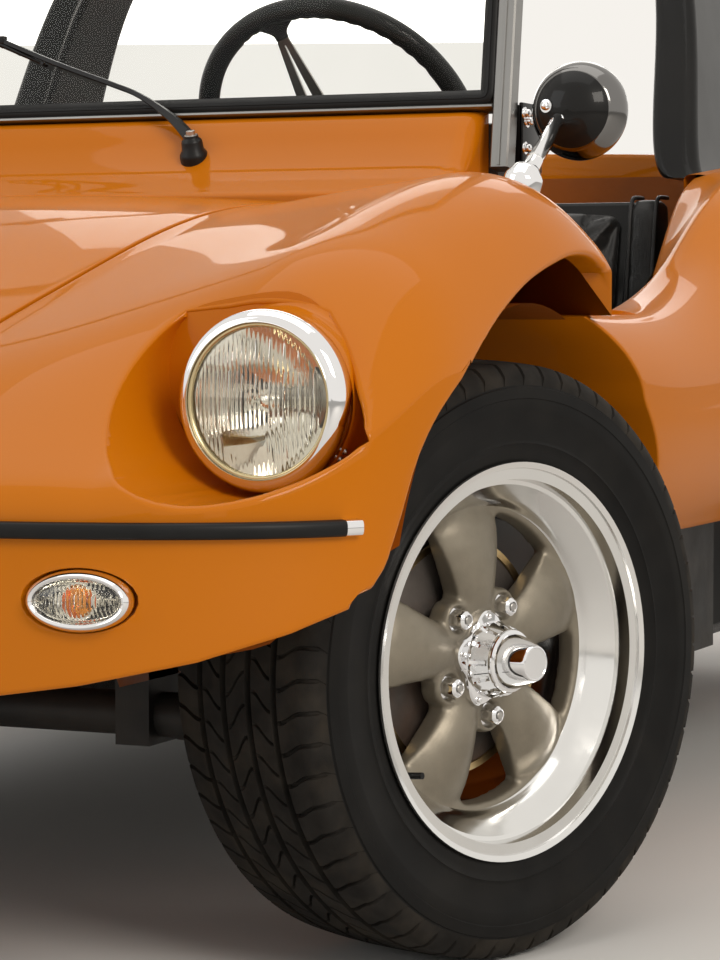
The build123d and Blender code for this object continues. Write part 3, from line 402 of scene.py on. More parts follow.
def tyre_mesh(name, radius, width, rim_half):
    """Carcass with four grooves, slanting sipes across each rib, and open shoulder slots."""
    pitches = 60 if radius < 0.32 else 62
    rows_in_pitch = (0.0, 0.035, 0.125, 0.16, 0.44, 0.72)
    half = width / 2
    groove_centres = (-0.50 * half, -0.17 * half, 0.17 * half, 0.50 * half)
    groove, depth = 0.0042, 0.0075
    columns = []          # x, radius, kind, rib
    tread_edge = half - 0.018

    def crown(x):
        return radius - 0.0042 * (abs(x) / tread_edge) ** 2.4

    bounds = [-tread_edge] + list(groove_centres) + [tread_edge]
    for rib in range(5):
        low = bounds[rib] + (groove if rib else 0.0)
        high = bounds[rib + 1] - (groove if rib < 4 else 0.0)
        steps = 6
        for k in range(steps + 1):
            x = mix(low, high, k / steps)
            columns.append((x, crown(x), "rib", rib, (k / steps) * 2 - 1))
        if rib < 4:
            for x in (high + 0.0012, high + 2 * groove - 0.0012):
                columns.append((x, crown(x) - depth, "floor", rib, 0.0))

    # Outer sidewall from the tread edge down to the rim, with its ribs
    drop = radius - RIM_SEAT
    wall = [(tread_edge + 0.006, radius - 0.0085), (half - 0.0065, radius - 0.0165),
            (half - 0.003, radius - 0.026), (half - 0.0030, radius - 0.0275),
            (half - 0.0012, radius - 0.0285), (half - 0.0002, radius - 0.038),
            (half + 0.0000, radius - 0.0395), (half - 0.0010, radius - 0.0405),
            (half - 0.0002, radius - 0.052), (half - 0.0012, radius - 0.52 * drop),
            (half - 0.0036, radius - 0.66 * drop), (half - 0.0062, radius - 0.78 * drop),
            (half - 0.0060, radius - 0.80 * drop), (half - 0.0052, radius - 0.815 * drop),
            (half - 0.0068, radius - 0.83 * drop), (half - 0.0095, radius - 0.90 * drop),
            (rim_half - 0.0035, radius - 0.955 * drop), (rim_half - 0.0062, radius - drop - 0.001),
            (rim_half - 0.009, 0.1995), (rim_half - 0.010, 0.190)]
    full = [(-x, r, "wall", 9, 0.0) for x, r in reversed(wall)] + columns + [(x, r, "wall", 9, 0.0)
                                                                             for x, r in wall]
    count = len(full)
    phases = (0.1, 0.55, 0.0, 0.45, 0.9)
    leans = (0.18, 0.30, -0.30, 0.30, -0.18)
    verts, faces, tread = [], [], []
    rows = pitches * len(rows_in_pitch)
    for row in range(rows):
        pitch, step = divmod(row, len(rows_in_pitch))
        inside = step in (1, 2)
        for j, (x, r, kind, rib, across) in enumerate(full):
            shift = 0.0
            if kind == "rib":
                lean = leans[rib]
                shift = phases[rib] + lean * math.sin(across * math.pi / 2) * (1 if rib != 2 else 1.3)
                cut = 0.0048 if rib in (0, 4) else 0.0042
                if inside and (abs(across) < 0.99 or rib in (0, 4)):
                    r -= cut
            elif kind == "wall":
                near_tread = r > radius - 0.018
                shift = phases[0] if x < 0 else phases[4]
                if near_tread:
                    shift -= 0.18
                if inside and near_tread:
                    r -= 0.0042
            angle = 2 * math.pi * (pitch + rows_in_pitch[step] + shift) / pitches
            verts.append(round_the_axle(x, r, angle))
    for row in range(rows):
        n = (row + 1) % rows
        for j in range(count - 1):
            faces.append((row * count + j, n * count + j, n * count + j + 1, row * count + j + 1))
            tread.append(full[j][2] != "wall" or full[j + 1][2] != "wall"
                         or abs(full[j][1]) > radius - 0.02)
    # Closed along the rim seat
    obj_faces = faces + [(r * count + count - 1, ((r + 1) % rows) * count + count - 1,
                          ((r + 1) % rows) * count, r * count) for r in range(rows)]
    mesh = bpy.data.meshes.new(name)
    mesh.from_pydata(verts, [], obj_faces)
    obj = bpy.data.objects.new(name, mesh)
    bpy.context.scene.collection.objects.link(obj)
    mesh.materials.append(side_rubber)
    mesh.materials.append(tread_rubber)
    for polygon, on_tread in zip(mesh.polygons, tread):
        polygon.material_index = 1 if on_tread else 0
    finish_mesh(obj, True, 38, merge=None)
    return obj


def rim_mesh(name, half):
    """Polished stepped lip and barrel; half is half the rim's width."""
    profile = [(0.0, RIM_SEAT), (-0.0006, 0.2062), (-0.0016, 0.2036), (-0.0022, 0.2018),
               (-0.0052, 0.2008), (-0.0060, 0.1992), (-0.0066, 0.1972), (-0.0100, 0.1962),
               (-0.0112, 0.1946), (-0.0118, 0.1926), (-0.0200, 0.1895), (-0.0208, 0.1868),
               (-0.0215, 0.1838), (-0.0300, 0.1765), (-0.0390, 0.1690), (-0.0455, 0.1640),
               (-0.0500, 0.1618), (-0.0520, 0.1600), (-0.0900, 0.1595)]
    back = [(-2 * half + 0.004, 0.1760), (-2 * half, 0.1900), (-2 * half, RIM_SEAT),
            (-2 * half + 0.004, 0.2085), (-2 * half + 0.006, 0.1900), (-half - 0.02, 0.1860),
            (-half, 0.1730), (-0.050, 0.1730), (-0.030, 0.1870), (-0.006, 0.1900), (-0.004, RIM_SEAT),
            (-0.002, 0.2086)]
    points = [(half + x, r) for x, r in profile + back]
    return lathe(name, points, 120, polished, 25)


def spoke_mesh(name, half):
    """Five crowned spokes that grow out of one hub, cast in one piece."""
    front = half - HUB_INSET
    bm = bmesh.new()

    def lathe_into(profile, segments, turn=None):
        rings = []
        for k in range(segments):
            a = 2 * math.pi * k / segments
            ring = []
            for x, r in profile:
                p = round_the_axle(x, r, a)
                if turn:
                    p = turn @ p
                ring.append(bm.verts.new(p))
            rings.append(ring)
        for k in range(segments):
            n = (k + 1) % segments
            for j in range(len(profile)):
                i = (j + 1) % len(profile)
                bm.faces.new((rings[k][j], rings[n][j], rings[n][i], rings[k][i]))

    hub = [(front - 0.030, 0.036), (front - 0.006, 0.036), (front - 0.004, 0.048),
           (front - 0.007, 0.066), (front - 0.014, 0.076), (front - 0.030, 0.078)]
    lathe_into(hub, 90)
    band = [(front - 0.034, 0.152), (front - 0.012, 0.154), (front - 0.008, 0.166),
            (front - 0.034, 0.166)]
    lathe_into(band, 120)
    # One spoke: stations along the radius with half width, ridge height, edge height
    table = [(0.050, 0.024, -0.001, -0.012), (0.066, 0.0265, 0.003, -0.010),
             (0.085, 0.0305, 0.006, -0.008), (0.105, 0.0355, 0.0065, -0.008),
             (0.125, 0.0415, 0.004, -0.010), (0.142, 0.0465, -0.001, -0.014),
             (0.156, 0.0500, -0.008, -0.019), (0.166, 0.0520, -0.015, -0.024)]
    across = 16
    for k in range(5):
        turn = Matrix.Rotation(spoke_angle(k), 4, "X")

        def spoke_vert(x, y, r):
            return bm.verts.new(turn @ Vector((x, y, math.sqrt(max(r * r - y ** 2, 0)))))

        grid = []
        for r, wide, ridge, edge in table:
            row, low = [], []
            for j in range(across + 1):
                u = j / across * 2 - 1
                rise = mix(edge, ridge, (1 - abs(u) ** 2.2))
                row.append(spoke_vert(front + rise, wide * u, r))
            for j in range(across + 1):
                u = j / across * 2 - 1
                low.append(spoke_vert(front - 0.032, wide * u * 0.97, r))
            grid.append((row, low))
        for a in range(len(grid) - 1):
            for j in range(across):
                bm.faces.new((grid[a][0][j], grid[a][0][j + 1], grid[a + 1][0][j + 1],
                              grid[a + 1][0][j]))
                bm.faces.new((grid[a][1][j], grid[a + 1][1][j], grid[a + 1][1][j + 1],
                              grid[a][1][j + 1]))
            for j in (0, across):
                quad = (grid[a][0][j], grid[a + 1][0][j], grid[a + 1][1][j], grid[a][1][j])
                bm.faces.new(quad if j == 0 else tuple(reversed(quad)))
        for a in (0, len(grid) - 1):
            for j in range(across):
                quad = (grid[a][0][j], grid[a][1][j], grid[a][1][j + 1], grid[a][0][j + 1])
                bm.faces.new(quad if a == 0 else tuple(reversed(quad)))
    # Lobes that carry the lug pockets between the spokes
    for k in range(5):
        turn = Matrix.Rotation(spoke_angle(k + 0.5), 4, "X")
        centre = Matrix.Translation((0, 0, LUG_CIRCLE))
        lobe = [(front - 0.030, 0.0001), (front - 0.002, 0.0001), (front - 0.001, 0.014),
                (front - 0.008, 0.0195), (front - 0.030, 0.0205)]
        lathe_into(lobe, 40, turn=turn @ centre)
    obj = from_bm(name, bm, cast_grey, True)
    remesh = obj.modifiers.new("cast", "REMESH")
    remesh.mode = "VOXEL"
    remesh.voxel_size = 0.0032
    remesh.use_smooth_shade = True
    smooth = obj.modifiers.new("soften", "SMOOTH")
    smooth.factor = 0.5
    smooth.iterations = 5
    apply_modifiers(obj)
    # Pockets pressed in round each lug
    front_skin = front - 0.012
    for v in obj.data.vertices:
        p = v.co
        for k in range(5):
            lug = round_the_axle(0, LUG_CIRCLE, spoke_angle(k + 0.5))
            d = math.hypot(p.y - lug.y, p.z - lug.z)
            if d < 0.0165 and p.x > front_skin - 0.004:
                p.x = mix(front - 0.011, p.x, smoothstep(0.0115, 0.0165, d))
    obj.data.materials.clear()
    obj.data.materials.append(cast_grey)
    finish_mesh(obj, True)
    return obj


def hub_cap(name, half):
    """Flanged locking-hub style cap: lobed flange, slotted barrel, ring and plain domed nose."""
    front = half - HUB_INSET
    parts = []

    def lobed(x, r, a):
        wave = math.cos(5 * (a - SPOKE_TURN))
        return x, r + (0.0055 * wave if r > 0.041 else 0.0)

    flange = [(front - 0.006, 0.0), (front - 0.006, 0.0465), (front + 0.0035, 0.0465),
              (front + 0.0055, 0.0445), (front + 0.0060, 0.0405), (front + 0.0075, 0.0400),
              (front + 0.0075, 0.0)]
    parts.append(lathe(name + "_flange", flange, 120, chrome, 30, lobed, closed=False))

    def slotted(x, r, a):
        if front + 0.010 < x < front + 0.0255 and r > 0.02:
            wave = math.cos(12 * a)
            r -= 0.0034 * smoothstep(0.55, 0.85, wave)
        return x, r

    barrel = [(front + 0.004, 0.0), (front + 0.004, 0.0405), (front + 0.0085, 0.0400)]
    barrel += [(front + 0.0085 + 0.0035 * k, mix(0.0400, 0.0325, k / 5)) for k in range(1, 6)]
    barrel += [(front + 0.0272, 0.0320), (front + 0.0282, 0.0330), (front + 0.0312, 0.0332),
               (front + 0.0325, 0.0325), (front + 0.0330, 0.0305), (front + 0.0336, 0.0290),
               (front + 0.0350, 0.0289)]
    for k in range(1, 13):
        t = k / 12
        barrel.append((front + 0.0350 + 0.0290 * t, mix(0.0289, 0.0190, t ** 1.25)))
    barrel += [(front + 0.0652, 0.0182), (front + 0.0656, 0.0168), (front + 0.0650, 0.0160),
               (front + 0.0650, 0.0)]
    parts.append(lathe(name + "_barrel", barrel, 144, chrome, 32, slotted, closed=False))
    for k in range(5):
        spot = round_the_axle(front + 0.0052, 0.0462, spoke_angle(k))
        parts.append(bolt(name + "_screw%d" % k, spot, Vector((1, 0, 0)), 0.0029, 0.003, chrome))
    return joined(name, parts)


def lug_nuts(name, half):
    front = half - HUB_INSET
    parts = []

    def hexed(x, r, angle):
        if r > 0.0088:
            seg = math.pi / 3
            local = (angle % seg) - seg / 2
            flat = 0.0092 / math.cos(local)
            r = min(r, flat)
        return x, r

    for k in range(5):
        place = Matrix.Translation(round_the_axle(front - 0.0125, LUG_CIRCLE, spoke_angle(k + 0.5)))
        washer = lathe("w", [(0.0, 0.0), (0.0, 0.0128), (0.0022, 0.0128), (0.0026, 0.0122),
                             (0.0026, 0.0)], 36, chrome,
                       35, closed=False)
        parts.append(transform(washer, place))
        nut = [(0.0022, 0.0), (0.0022, 0.0104), (0.0150, 0.0104), (0.0190, 0.0096), (0.0212, 0.0074),
               (0.0216, 0.0060), (0.0206, 0.0052), (0.0190, 0.0048), (0.0190, 0.0)]
        parts.append(transform(lathe("n", nut, 48, chrome, 30, hexed, closed=False), place))
        stud = [(0.0180, 0.0), (0.0180, 0.0042), (0.0218, 0.0042), (0.0226, 0.0034), (0.0226, 0.0)]
        parts.append(transform(lathe("s", stud, 20, steel, 40, closed=False), place))
    return joined(name, parts)


def brake_drum(name, half):
    """Finned drum behind the spokes, with its plated ring."""
    front = half - HUB_INSET
    profile = [(front - 0.0345, 0.0), (front - 0.0345, 0.050), (front - 0.042, 0.056),
               (front - 0.046, 0.118), (front - 0.050, 0.1235)]
    x = front - 0.050
    for _ in range(5):
        profile += [(x, 0.1275), (x - 0.0035, 0.1275), (x - 0.0035, 0.1225), (x - 0.0070, 0.1225)]
        x -= 0.0070
    profile += [(x, 0.1275), (x - 0.005, 0.1275), (x - 0.005, 0.0)]
    drum = lathe(name + "_body", profile, 90, rust_iron, 35, closed=False)
    ring = [(front - 0.0455, 0.1185), (front - 0.0435, 0.1190), (front - 0.0430, 0.1260),
            (front - 0.0455, 0.1268)]
    plated = lathe(name + "_ring", ring, 90, gold_plate, 35)
    return joined(name, [drum, plated])


def wheel_matrix(front, side):
    if front:
        knuckle = Matrix.Translation((side * 0.625, FRONT_AXLE_Y,
                                      FRONT_R)) @ Matrix.Rotation(-PARKED_STEER, 4, "Z")
        place = knuckle @ Matrix.Translation((side * 0.075, 0, 0))
    else:
        place = Matrix.Translation((side * 0.712, FRONT_AXLE_Y + WHEELBASE, REAR_R))
    return place if side > 0 else place @ mirror_x()


def build_wheels():
    for front in (True, False):
        axle = "front" if front else "rear"
        half = 0.098 if front else 0.111
        tyre = tyre_mesh("tyre_" + axle, FRONT_R if front else REAR_R, 0.208 if front else 0.240, half)
        rim = rim_mesh("rim_" + axle, half)
        spokes = spoke_mesh("spokes_" + axle, half)
        cap = hub_cap("cap_" + axle, half)
        nuts = lug_nuts("nuts_" + axle, half)
        drum = brake_drum("drum_" + axle, half)
        valve = tube("valve", [round_the_axle(half - 0.024, 0.1790, VALVE_ANGLE),
                               round_the_axle(half - 0.004, 0.1760, VALVE_ANGLE)], 0.0035, trim_rubber,
                     12)
        for side, word in ((1, "left"), (-1, "right")):
            tag = axle + "_" + word
            body = "wheel_" + tag
            place = wheel_matrix(front, side)
            mount(copy_of(tyre, "rubber_" + tag, place), body, ("tyre_" + tag,))
            mount(copy_of(rim, "lip_" + tag, place), body, ("rim_" + tag,))
            mount(copy_of(spokes, "spokes_" + tag, place), body)
            mount(copy_of(cap, "cap_" + tag, place), body, ("hub_" + tag,))
            mount(copy_of(nuts, "nuts_" + tag, place), body)
            mount(copy_of(drum, "drum_" + tag, place), body)
            mount(copy_of(valve, "valve_" + tag, place), body)
        for obj in (tyre, rim, spokes, cap, nuts, drum, valve):
            bpy.data.objects.remove(obj)


build_wheels()


# Moulded body, worked out in millimetres.
# A front section is a station, the crown's height, then x and z of the crease, slope, crest, shoulder
# and side. A rear section ends with x and z of the lower edge.
FRONT_SECTIONS = [
    (-640, 470, 315, 472, 430, 472, 560, 468, 700, 458, 800, 430),
    (-520, 545, 325, 560, 430, 562, 560, 540, 690, 520, 808, 470),
    (-420, 612, 330, 622, 440, 628, 580, 610, 700, 590, 808, 520),
    (-320, 674, 343, 664, 450, 676, 600, 700, 730, 682, 808, 590),
    (-200, 718, 361, 708, 460, 722, 620, 756, 750, 735, 808, 650),
    (-50, 768, 380, 760, 480, 774, 635, 802, 755, 783, 808, 710),
    (100, 804, 402, 793, 490, 806, 640, 826, 752, 803, 808, 738),
    (260, 818, 425, 803, 500, 814, 610, 824, 722, 781, 804, 700),
    (340, 822, 428, 809, 500, 815, 606, 823, 718, 780, 804, 690),
    (420, 826, 430, 815, 500, 818, 605, 822, 716, 776, 804, 684),
]
REAR_SECTIONS = [
    (1100, 888, 420, 882, 500, 876, 600, 868, 745, 820, 830, 640, 800, 415),
    (1400, 920, 420, 914, 520, 906, 640, 890, 775, 845, 834, 700, 806, 415),
    (1800, 922, 420, 915, 530, 906, 660, 892, 785, 850, 836, 720, 812, 415),
    (2200, 880, 420, 873, 530, 864, 660, 850, 785, 812, 836, 690, 815, 430),
    (2500, 808, 418, 800, 525, 790, 655, 775, 775, 740, 832, 630, 812, 470),
    (2750, 690, 405, 682, 510, 672, 630, 655, 750, 625, 806, 560, 792, 490),
]
NOSE_PLAN = [(0, -610), (300, -604), (480, -584), (620, -545), (720, -480), (776, -400), (802, -310),
             (812, -200)]
NOSE_UNDER = [(0, 312), (440, 318), (550, 334), (652, 356), (722, 380), (768, 404), (812, 440)]
POCKET = [(528, 640), (548, 674), (602, 689), (668, 692), (712, 656), (748, 600), (766, 556),
          (738, 526), (692, 506), (640, 500), (598, 514), (552, 552), (530, 596)]
POCKET_FLOOR = -338.0
HEADLAMP = (658, -338, 592)
SCUTTLE_HALF = 572.0
SCUTTLE_STATION = 260.0
NOSE_STATION = -610.0
SILL_Z = 290.0
BACK_STEPS = [1010 - 12.0 * k
              for k in range(82)]     # distances behind the nose line of the shell's rows


def natural_spline(xs, ys):
    n = len(xs)
    h = [xs[i + 1] - xs[i] for i in range(n - 1)]
    a, b, c, d = [0.0] * n, [1.0] * n, [0.0] * n, [0.0] * n
    for i in range(1, n - 1):
        a[i], b[i], c[i] = h[i - 1], 2 * (h[i - 1] + h[i]), h[i]
        d[i] = 6 * ((ys[i + 1] - ys[i]) / h[i] - (ys[i] - ys[i - 1]) / h[i - 1])
    for i in range(1, n):
        m = a[i] / b[i - 1]
        b[i] -= m * c[i - 1]
        d[i] -= m * d[i - 1]
    second = [0.0] * n
    second[-1] = d[-1] / b[-1]
    for i in range(n - 2, -1, -1):
        second[i] = (d[i] - c[i] * second[i + 1]) / b[i]

    def value(x):
        i = 0
        while i < n - 2 and x > xs[i + 1]:
            i += 1
        t, u = x - xs[i], xs[i + 1] - x
        return ((second[i] * u ** 3 + second[i + 1] * t ** 3) / (6 * h[i])
                + (ys[i] / h[i] - second[i] * h[i] / 6) * u
                + (ys[i + 1] / h[i] - second[i + 1] * h[i] / 6) * t)

    return value


def linear(points):
    def value(x):
        for (x0, y0), (x1, y1) in zip(points, points[1:]):
            if x <= x1:
                return y0 + (y1 - y0) * (max(x, x0) - x0) / (x1 - x0)
        return points[-1][1]

    return value


def arc_point(a, b, c, t):
    """The point at share t of the arc from a through b to c."""
    (ax, ay), (bx, by), (cx, cy) = a, b, c
    d = 2 * (ax * (by - cy) + bx * (cy - ay) + cx * (ay - by))
    if abs(d) < 1e-3:
        return ax + (cx - ax) * t, ay + (cy - ay) * t
    ux = ((ax * ax + ay * ay) * (by - cy) + (bx * bx + by * by) * (cy - ay)
          + (cx * cx + cy * cy) * (ay - by)) / d
    uy = ((ax * ax + ay * ay) * (cx - bx) + (bx * bx + by * by) * (ax - cx)
          + (cx * cx + cy * cy) * (bx - ax)) / d
    r = math.hypot(ax - ux, ay - uy)
    start = math.atan2(ay - uy, ax - ux)
    through = (math.atan2(by - uy, bx - ux) - start) % (2 * math.pi)
    sweep = (math.atan2(cy - uy, cx - ux) - start) % (2 * math.pi)
    if through > sweep:
        sweep -= 2 * math.pi
    return ux + r * math.cos(start + sweep * t), uy + r * math.sin(start + sweep * t)


class Moulding:
    """The body's upper surface. point(u, s): u from 0 on the centre line to 1 at the widest line."""

    def __init__(self, rows):
        stations = [row[0] for row in rows]
        self.columns = [natural_spline(stations, [row[k] for row in rows])
                        for k in range(1, len(rows[0]))]
        self.cache = {}

    def row(self, s):
        key = round(s, 3)
        if key not in self.cache:
            self.cache[key] = [column(s) for column in self.columns]
        return self.cache[key]

    def point(self, u, s):
        zc, xk, zk, xv, zv, xr, zr, xm, zm, xo, zo = self.row(s)[:11]
        if u < 0.36:
            x = xk * u / 0.36
            rise = zk - zc
            if abs(rise) < 1e-6:
                return x, zc
            r = (xk * xk + rise * rise) / (2 * abs(rise))
            return x, zc + math.copysign(r - math.sqrt(max(r * r - x * x, 0.0)), rise)
        if u < 0.66:
            return arc_point((xk, zk), (xv, zv), (xr, zr), (u - 0.36) / 0.30)
        return arc_point((xr, zr), (xm, zm), (xo, zo), (u - 0.66) / 0.34)


def polygon_distance(points, x, y):
    """Signed distance to a closed outline: negative inside."""
    best, inside = 1e9, False
    count = len(points)
    for i in range(count):
        (x0, y0), (x1, y1) = points[i], points[(i + 1) % count]
        dx, dy = x1 - x0, y1 - y0
        t = max(0.0, min(1.0, ((x - x0) * dx + (y - y0) * dy) / (dx * dx + dy * dy)))
        best = min(best, (x - x0 - t * dx) ** 2 + (y - y0 - t * dy) ** 2)
        if (y0 > y) != (y1 > y) and x < (x1 - x0) * (y - y0) / (y1 - y0) + x0:
            inside = not inside
    best = math.sqrt(best)
    return -best if inside else best


def rounded_loop(points, steps=5):
    """A smooth closed line through the points."""
    out = []
    count = len(points)
    for i in range(count):
        p0, p1, p2, p3 = (Vector(points[(i + k - 1) % count]) for k in range(4))
        for k in range(steps):
            t = k / steps
            q = 0.5 * (2 * p1 + (p2 - p0) * t + (2 * p0 - 5 * p1 + 4 * p2 - p3) * t * t
                       + (3 * p1 - p0 - 3 * p2 + p3) * t ** 3)
            out.append((q.x, q.y))
    return out


ARCH = [(-424, 150), (-424, 392), (-418, 406), (-390, 432), (-363, 490), (-337, 544), (-288, 594),
        (-184, 659), (-85, 704), (0, 728), (62, 738), (122, 735), (160, 716), (176, 690), (178, 672),
        (276, 560), (374, 313), (374, 150)]


def gradient(measure, co):
    """Direction in which a rule grows, at a point in metres."""
    p = [co.x * 1000, (co.y - FRONT_AXLE_Y) * 1000, co.z * 1000]
    step = 0.5
    slopes = []
    for axis in range(3):
        ahead, behind = list(p), list(p)
        ahead[axis] += step
        behind[axis] -= step
        slopes.append(measure(ahead) - measure(behind))
    return Vector(slopes)


class Skin:
    """Polygons of a sheet, clipped where any rule says so, with rolled edges along the cuts."""

    def __init__(self, rules):
        self.rules = rules
        self.bm = bmesh.new()
        self.index = {}
        self.tags = {}
        self.normals = {}

    def keep(self, p):
        best, tag = 1e9, None
        for name, (rule, radius) in self.rules.items():
            value = rule(p) - radius
            if value < best:
                best, tag = value, name
        return best, tag

    def vertex(self, p, tag=None):
        key = (round(p[0], 2), round(p[1], 2), round(p[2], 2))
        if key not in self.index:
            self.index[key] = self.bm.verts.new(at(*p))
        v = self.index[key]
        if tag:
            self.tags[v] = tag
        return v

    def grid(self, points, flip=False):
        """points[i][j] are (x, station, z) in millimetres."""
        values = [[self.keep(p)[0] for p in row] for row in points]
        for i in range(len(points) - 1):
            for j in range(len(points[0]) - 1):
                corners = [(i, j), (i + 1, j), (i + 1, j + 1), (i, j + 1)]
                kept = [values[a][b] for a, b in corners]
                if max(kept) <= 0:
                    continue
                loop = []
                for k in range(4):
                    (a, b), (c, d) = corners[k], corners[(k + 1) % 4]
                    va, vc = values[a][b], values[c][d]
                    if va > 0:
                        loop.append(self.vertex(points[a][b]))
                    if (va > 0) != (vc > 0):
                        loop.append(self.crossing(points[a][b], points[c][d], va > 0))
                clean = [v for k, v in enumerate(loop) if v is not loop[k - 1]]
                if len(set(clean)) == len(clean) and len(clean) > 2:
                    try:
                        self.bm.faces.new(clean if not flip else clean[::-1])
                    except ValueError:
                        pass

    def crossing(self, p, q, p_kept):
        low, high = (p, q) if p_kept else (q, p)
        for _ in range(14):
            middle = tuple((a + b) / 2 for a, b in zip(low, high))
            if self.keep(middle)[0] > 0:
                low = middle
            else:
                high = middle
        tag = self.keep(high)[1]
        return self.vertex(low, tag)

    def finish(self, name, material, flanges, merge=0.0009):
        """Rolls each cut edge inward. flanges: tag -> (radius, function giving way and depth)."""
        bm = self.bm
        bmesh.ops.remove_doubles(bm, verts=bm.verts, dist=1e-6)
        tags = {v: t for v, t in self.tags.items() if v.is_valid}
        bmesh.ops.remove_doubles(bm, verts=list(tags), dist=merge)
        tags = {v: t for v, t in tags.items() if v.is_valid}
        bm.normal_update()
        edges = [e for e in bm.edges if len(e.link_faces) == 1 and all(v in tags for v in e.verts)]
        rings = {}
        for v in {v for e in edges for v in e.verts}:
            rule = flanges.get(tags[v])
            if not rule:
                continue
            r, way = rule[0] / 1000.0, rule[1]
            measure = self.rules[tags[v]][0]
            n = v.normal.normalized()
            away = -gradient(measure, v.co)
            away -= n * away.dot(n)
            if away.length < 1e-9:
                continue
            away.normalize()
            direction, depth = way(v.co)
            direction = direction.normalized()
            bend = away.angle(direction)
            r *= max(1 - smoothstep(2.0, 2.9, bend), 0.05)
            inward = direction - away * away.dot(direction)
            inward = inward.normalized() if inward.length > 1e-6 else -n
            start = v.co.copy()
            ring = [v]
            for k in range(1, 6):
                a = bend * k / 5
                ring.append(bm.verts.new(start + away * (r * math.sin(a))
                                         + inward * (r * (1 - math.cos(a)))))
            last = ring[-1].co
            rest = max(depth / 1000.0 - (last - start).dot(direction), 0.001)
            ring.append(bm.verts.new(last + direction * (rest * 0.5)))
            ring.append(bm.verts.new(last + direction * rest))
            rings[v] = ring
        for e in edges:
            a, b = e.verts
            if a in rings and b in rings:
                face = e.link_faces[0]
                loops = list(face.verts)
                i = loops.index(a)
                forward = loops[(i + 1) % len(loops)] is b
                ra, rb = rings[a], rings[b]
                for k in range(len(ra) - 1):
                    quad = (ra[k], ra[k + 1], rb[k + 1], rb[k]) if forward else (rb[k], rb[k + 1],
                                                                                 ra[k + 1], ra[k])
                    try:
                        bm.faces.new(quad)
                    except ValueError:
                        pass
        mesh = bpy.data.meshes.new(name)
        for face in bm.faces:
            face.smooth = True
        bm.to_mesh(mesh)
        bm.free()
        obj = bpy.data.objects.new(name, mesh)
        bpy.context.scene.collection.objects.link(obj)
        mesh.materials.append(material)
        return obj


def both_sides_of(obj, name):
    """Joins the left half with its mirror image along the centre line."""
    twin = copy_of(obj, name + "_r", mirror_x())
    whole = joined(name, [obj, twin])
    bm = bmesh.new()
    bm.from_mesh(whole.data)
    middle = [v for v in bm.verts if abs(v.co.x) < 2e-4]
    bmesh.ops.remove_doubles(bm, verts=middle, dist=2e-4)
    bmesh.ops.recalc_face_normals(bm, faces=bm.faces)
    limit = math.radians(48)
    for e in bm.edges:
        if len(e.link_faces) == 2 and e.calc_face_angle(0) > limit:
            e.smooth = False
    bm.to_mesh(whole.data)
    bm.free()
    return whole


front_body = Moulding(FRONT_SECTIONS)


def clamped_curve(points, start_way, end_way, samples=240):
    """The smooth line through the points with given end directions, as (x, y) samples."""
    knots = [0.0]
    for (x0, y0), (x1, y1) in zip(points, points[1:]):
        knots.append(knots[-1] + math.hypot(x1 - x0, y1 - y0))
    columns = []
    for axis in (0, 1):
        ys = [p[axis] for p in points]
        n = len(ys)
        h = [knots[i + 1] - knots[i] for i in range(n - 1)]
        b, c, d = [0.0] * n, [0.0] * n, [0.0] * n
        b[0], c[0], d[0] = 2 * h[0], h[0], 6 * ((ys[1] - ys[0]) / h[0] - start_way[axis])
        lower = [0.0] * n
        for i in range(1, n - 1):
            lower[i], b[i], c[i] = h[i - 1], 2 * (h[i - 1] + h[i]), h[i]
            d[i] = 6 * ((ys[i + 1] - ys[i]) / h[i] - (ys[i] - ys[i - 1]) / h[i - 1])
        lower[-1], b[-1] = h[-1], 2 * h[-1]
        d[-1] = 6 * (end_way[axis] - (ys[-1] - ys[-2]) / h[-1])
        for i in range(1, n):
            m = lower[i] / b[i - 1]
            b[i] -= m * c[i - 1]
            d[i] -= m * d[i - 1]
        second = [0.0] * n
        second[-1] = d[-1] / b[-1]
        for i in range(n - 2, -1, -1):
            second[i] = (d[i] - c[i] * second[i + 1]) / b[i]
        columns.append((ys, h, second))
    out = []
    for k in range(samples + 1):
        t = knots[-1] * k / samples
        i = 0
        while i < len(points) - 2 and t > knots[i + 1]:
            i += 1
        value = []
        for ys, h, second in columns:
            f, g = t - knots[i], knots[i + 1] - t
            value.append((second[i] * g ** 3 + second[i + 1] * f ** 3) / (6 * h[i])
                         + (ys[i] / h[i] - second[i] * h[i] / 6) * g
                         + (ys[i + 1] / h[i] - second[i + 1] * h[i] / 6) * f)
        out.append(tuple(value))
    return out


nose_line = linear(clamped_curve(NOSE_PLAN, (1, 0), (0, 1)))
under_line = linear(NOSE_UNDER)
ARCH_LOOP = ARCH[:1] + rounded_loop(ARCH, 4)[4:-8] + ARCH[-2:]
POCKET_LOOP = rounded_loop(POCKET)


def front_point(u, w):
    """A point w behind the nose line; the lines straighten towards the scuttle."""
    fade = 1 - smoothstep(0, 560, w)
    s = NOSE_STATION + w
    for _ in range(7):
        x, z = front_body.point(u, min(s, 420))
        s = NOSE_STATION + w + fade * (nose_line(min(x, 810)) - NOSE_STATION)
    return x, s, z


def bent(start, corner, end, t):
    """The point at share t of the curve from start to end that corner pulls outward."""
    return tuple((1 - t) ** 2 * a + 2 * t * (1 - t) * b + t * t * c
                 for a, b, c in zip(start, corner, end))


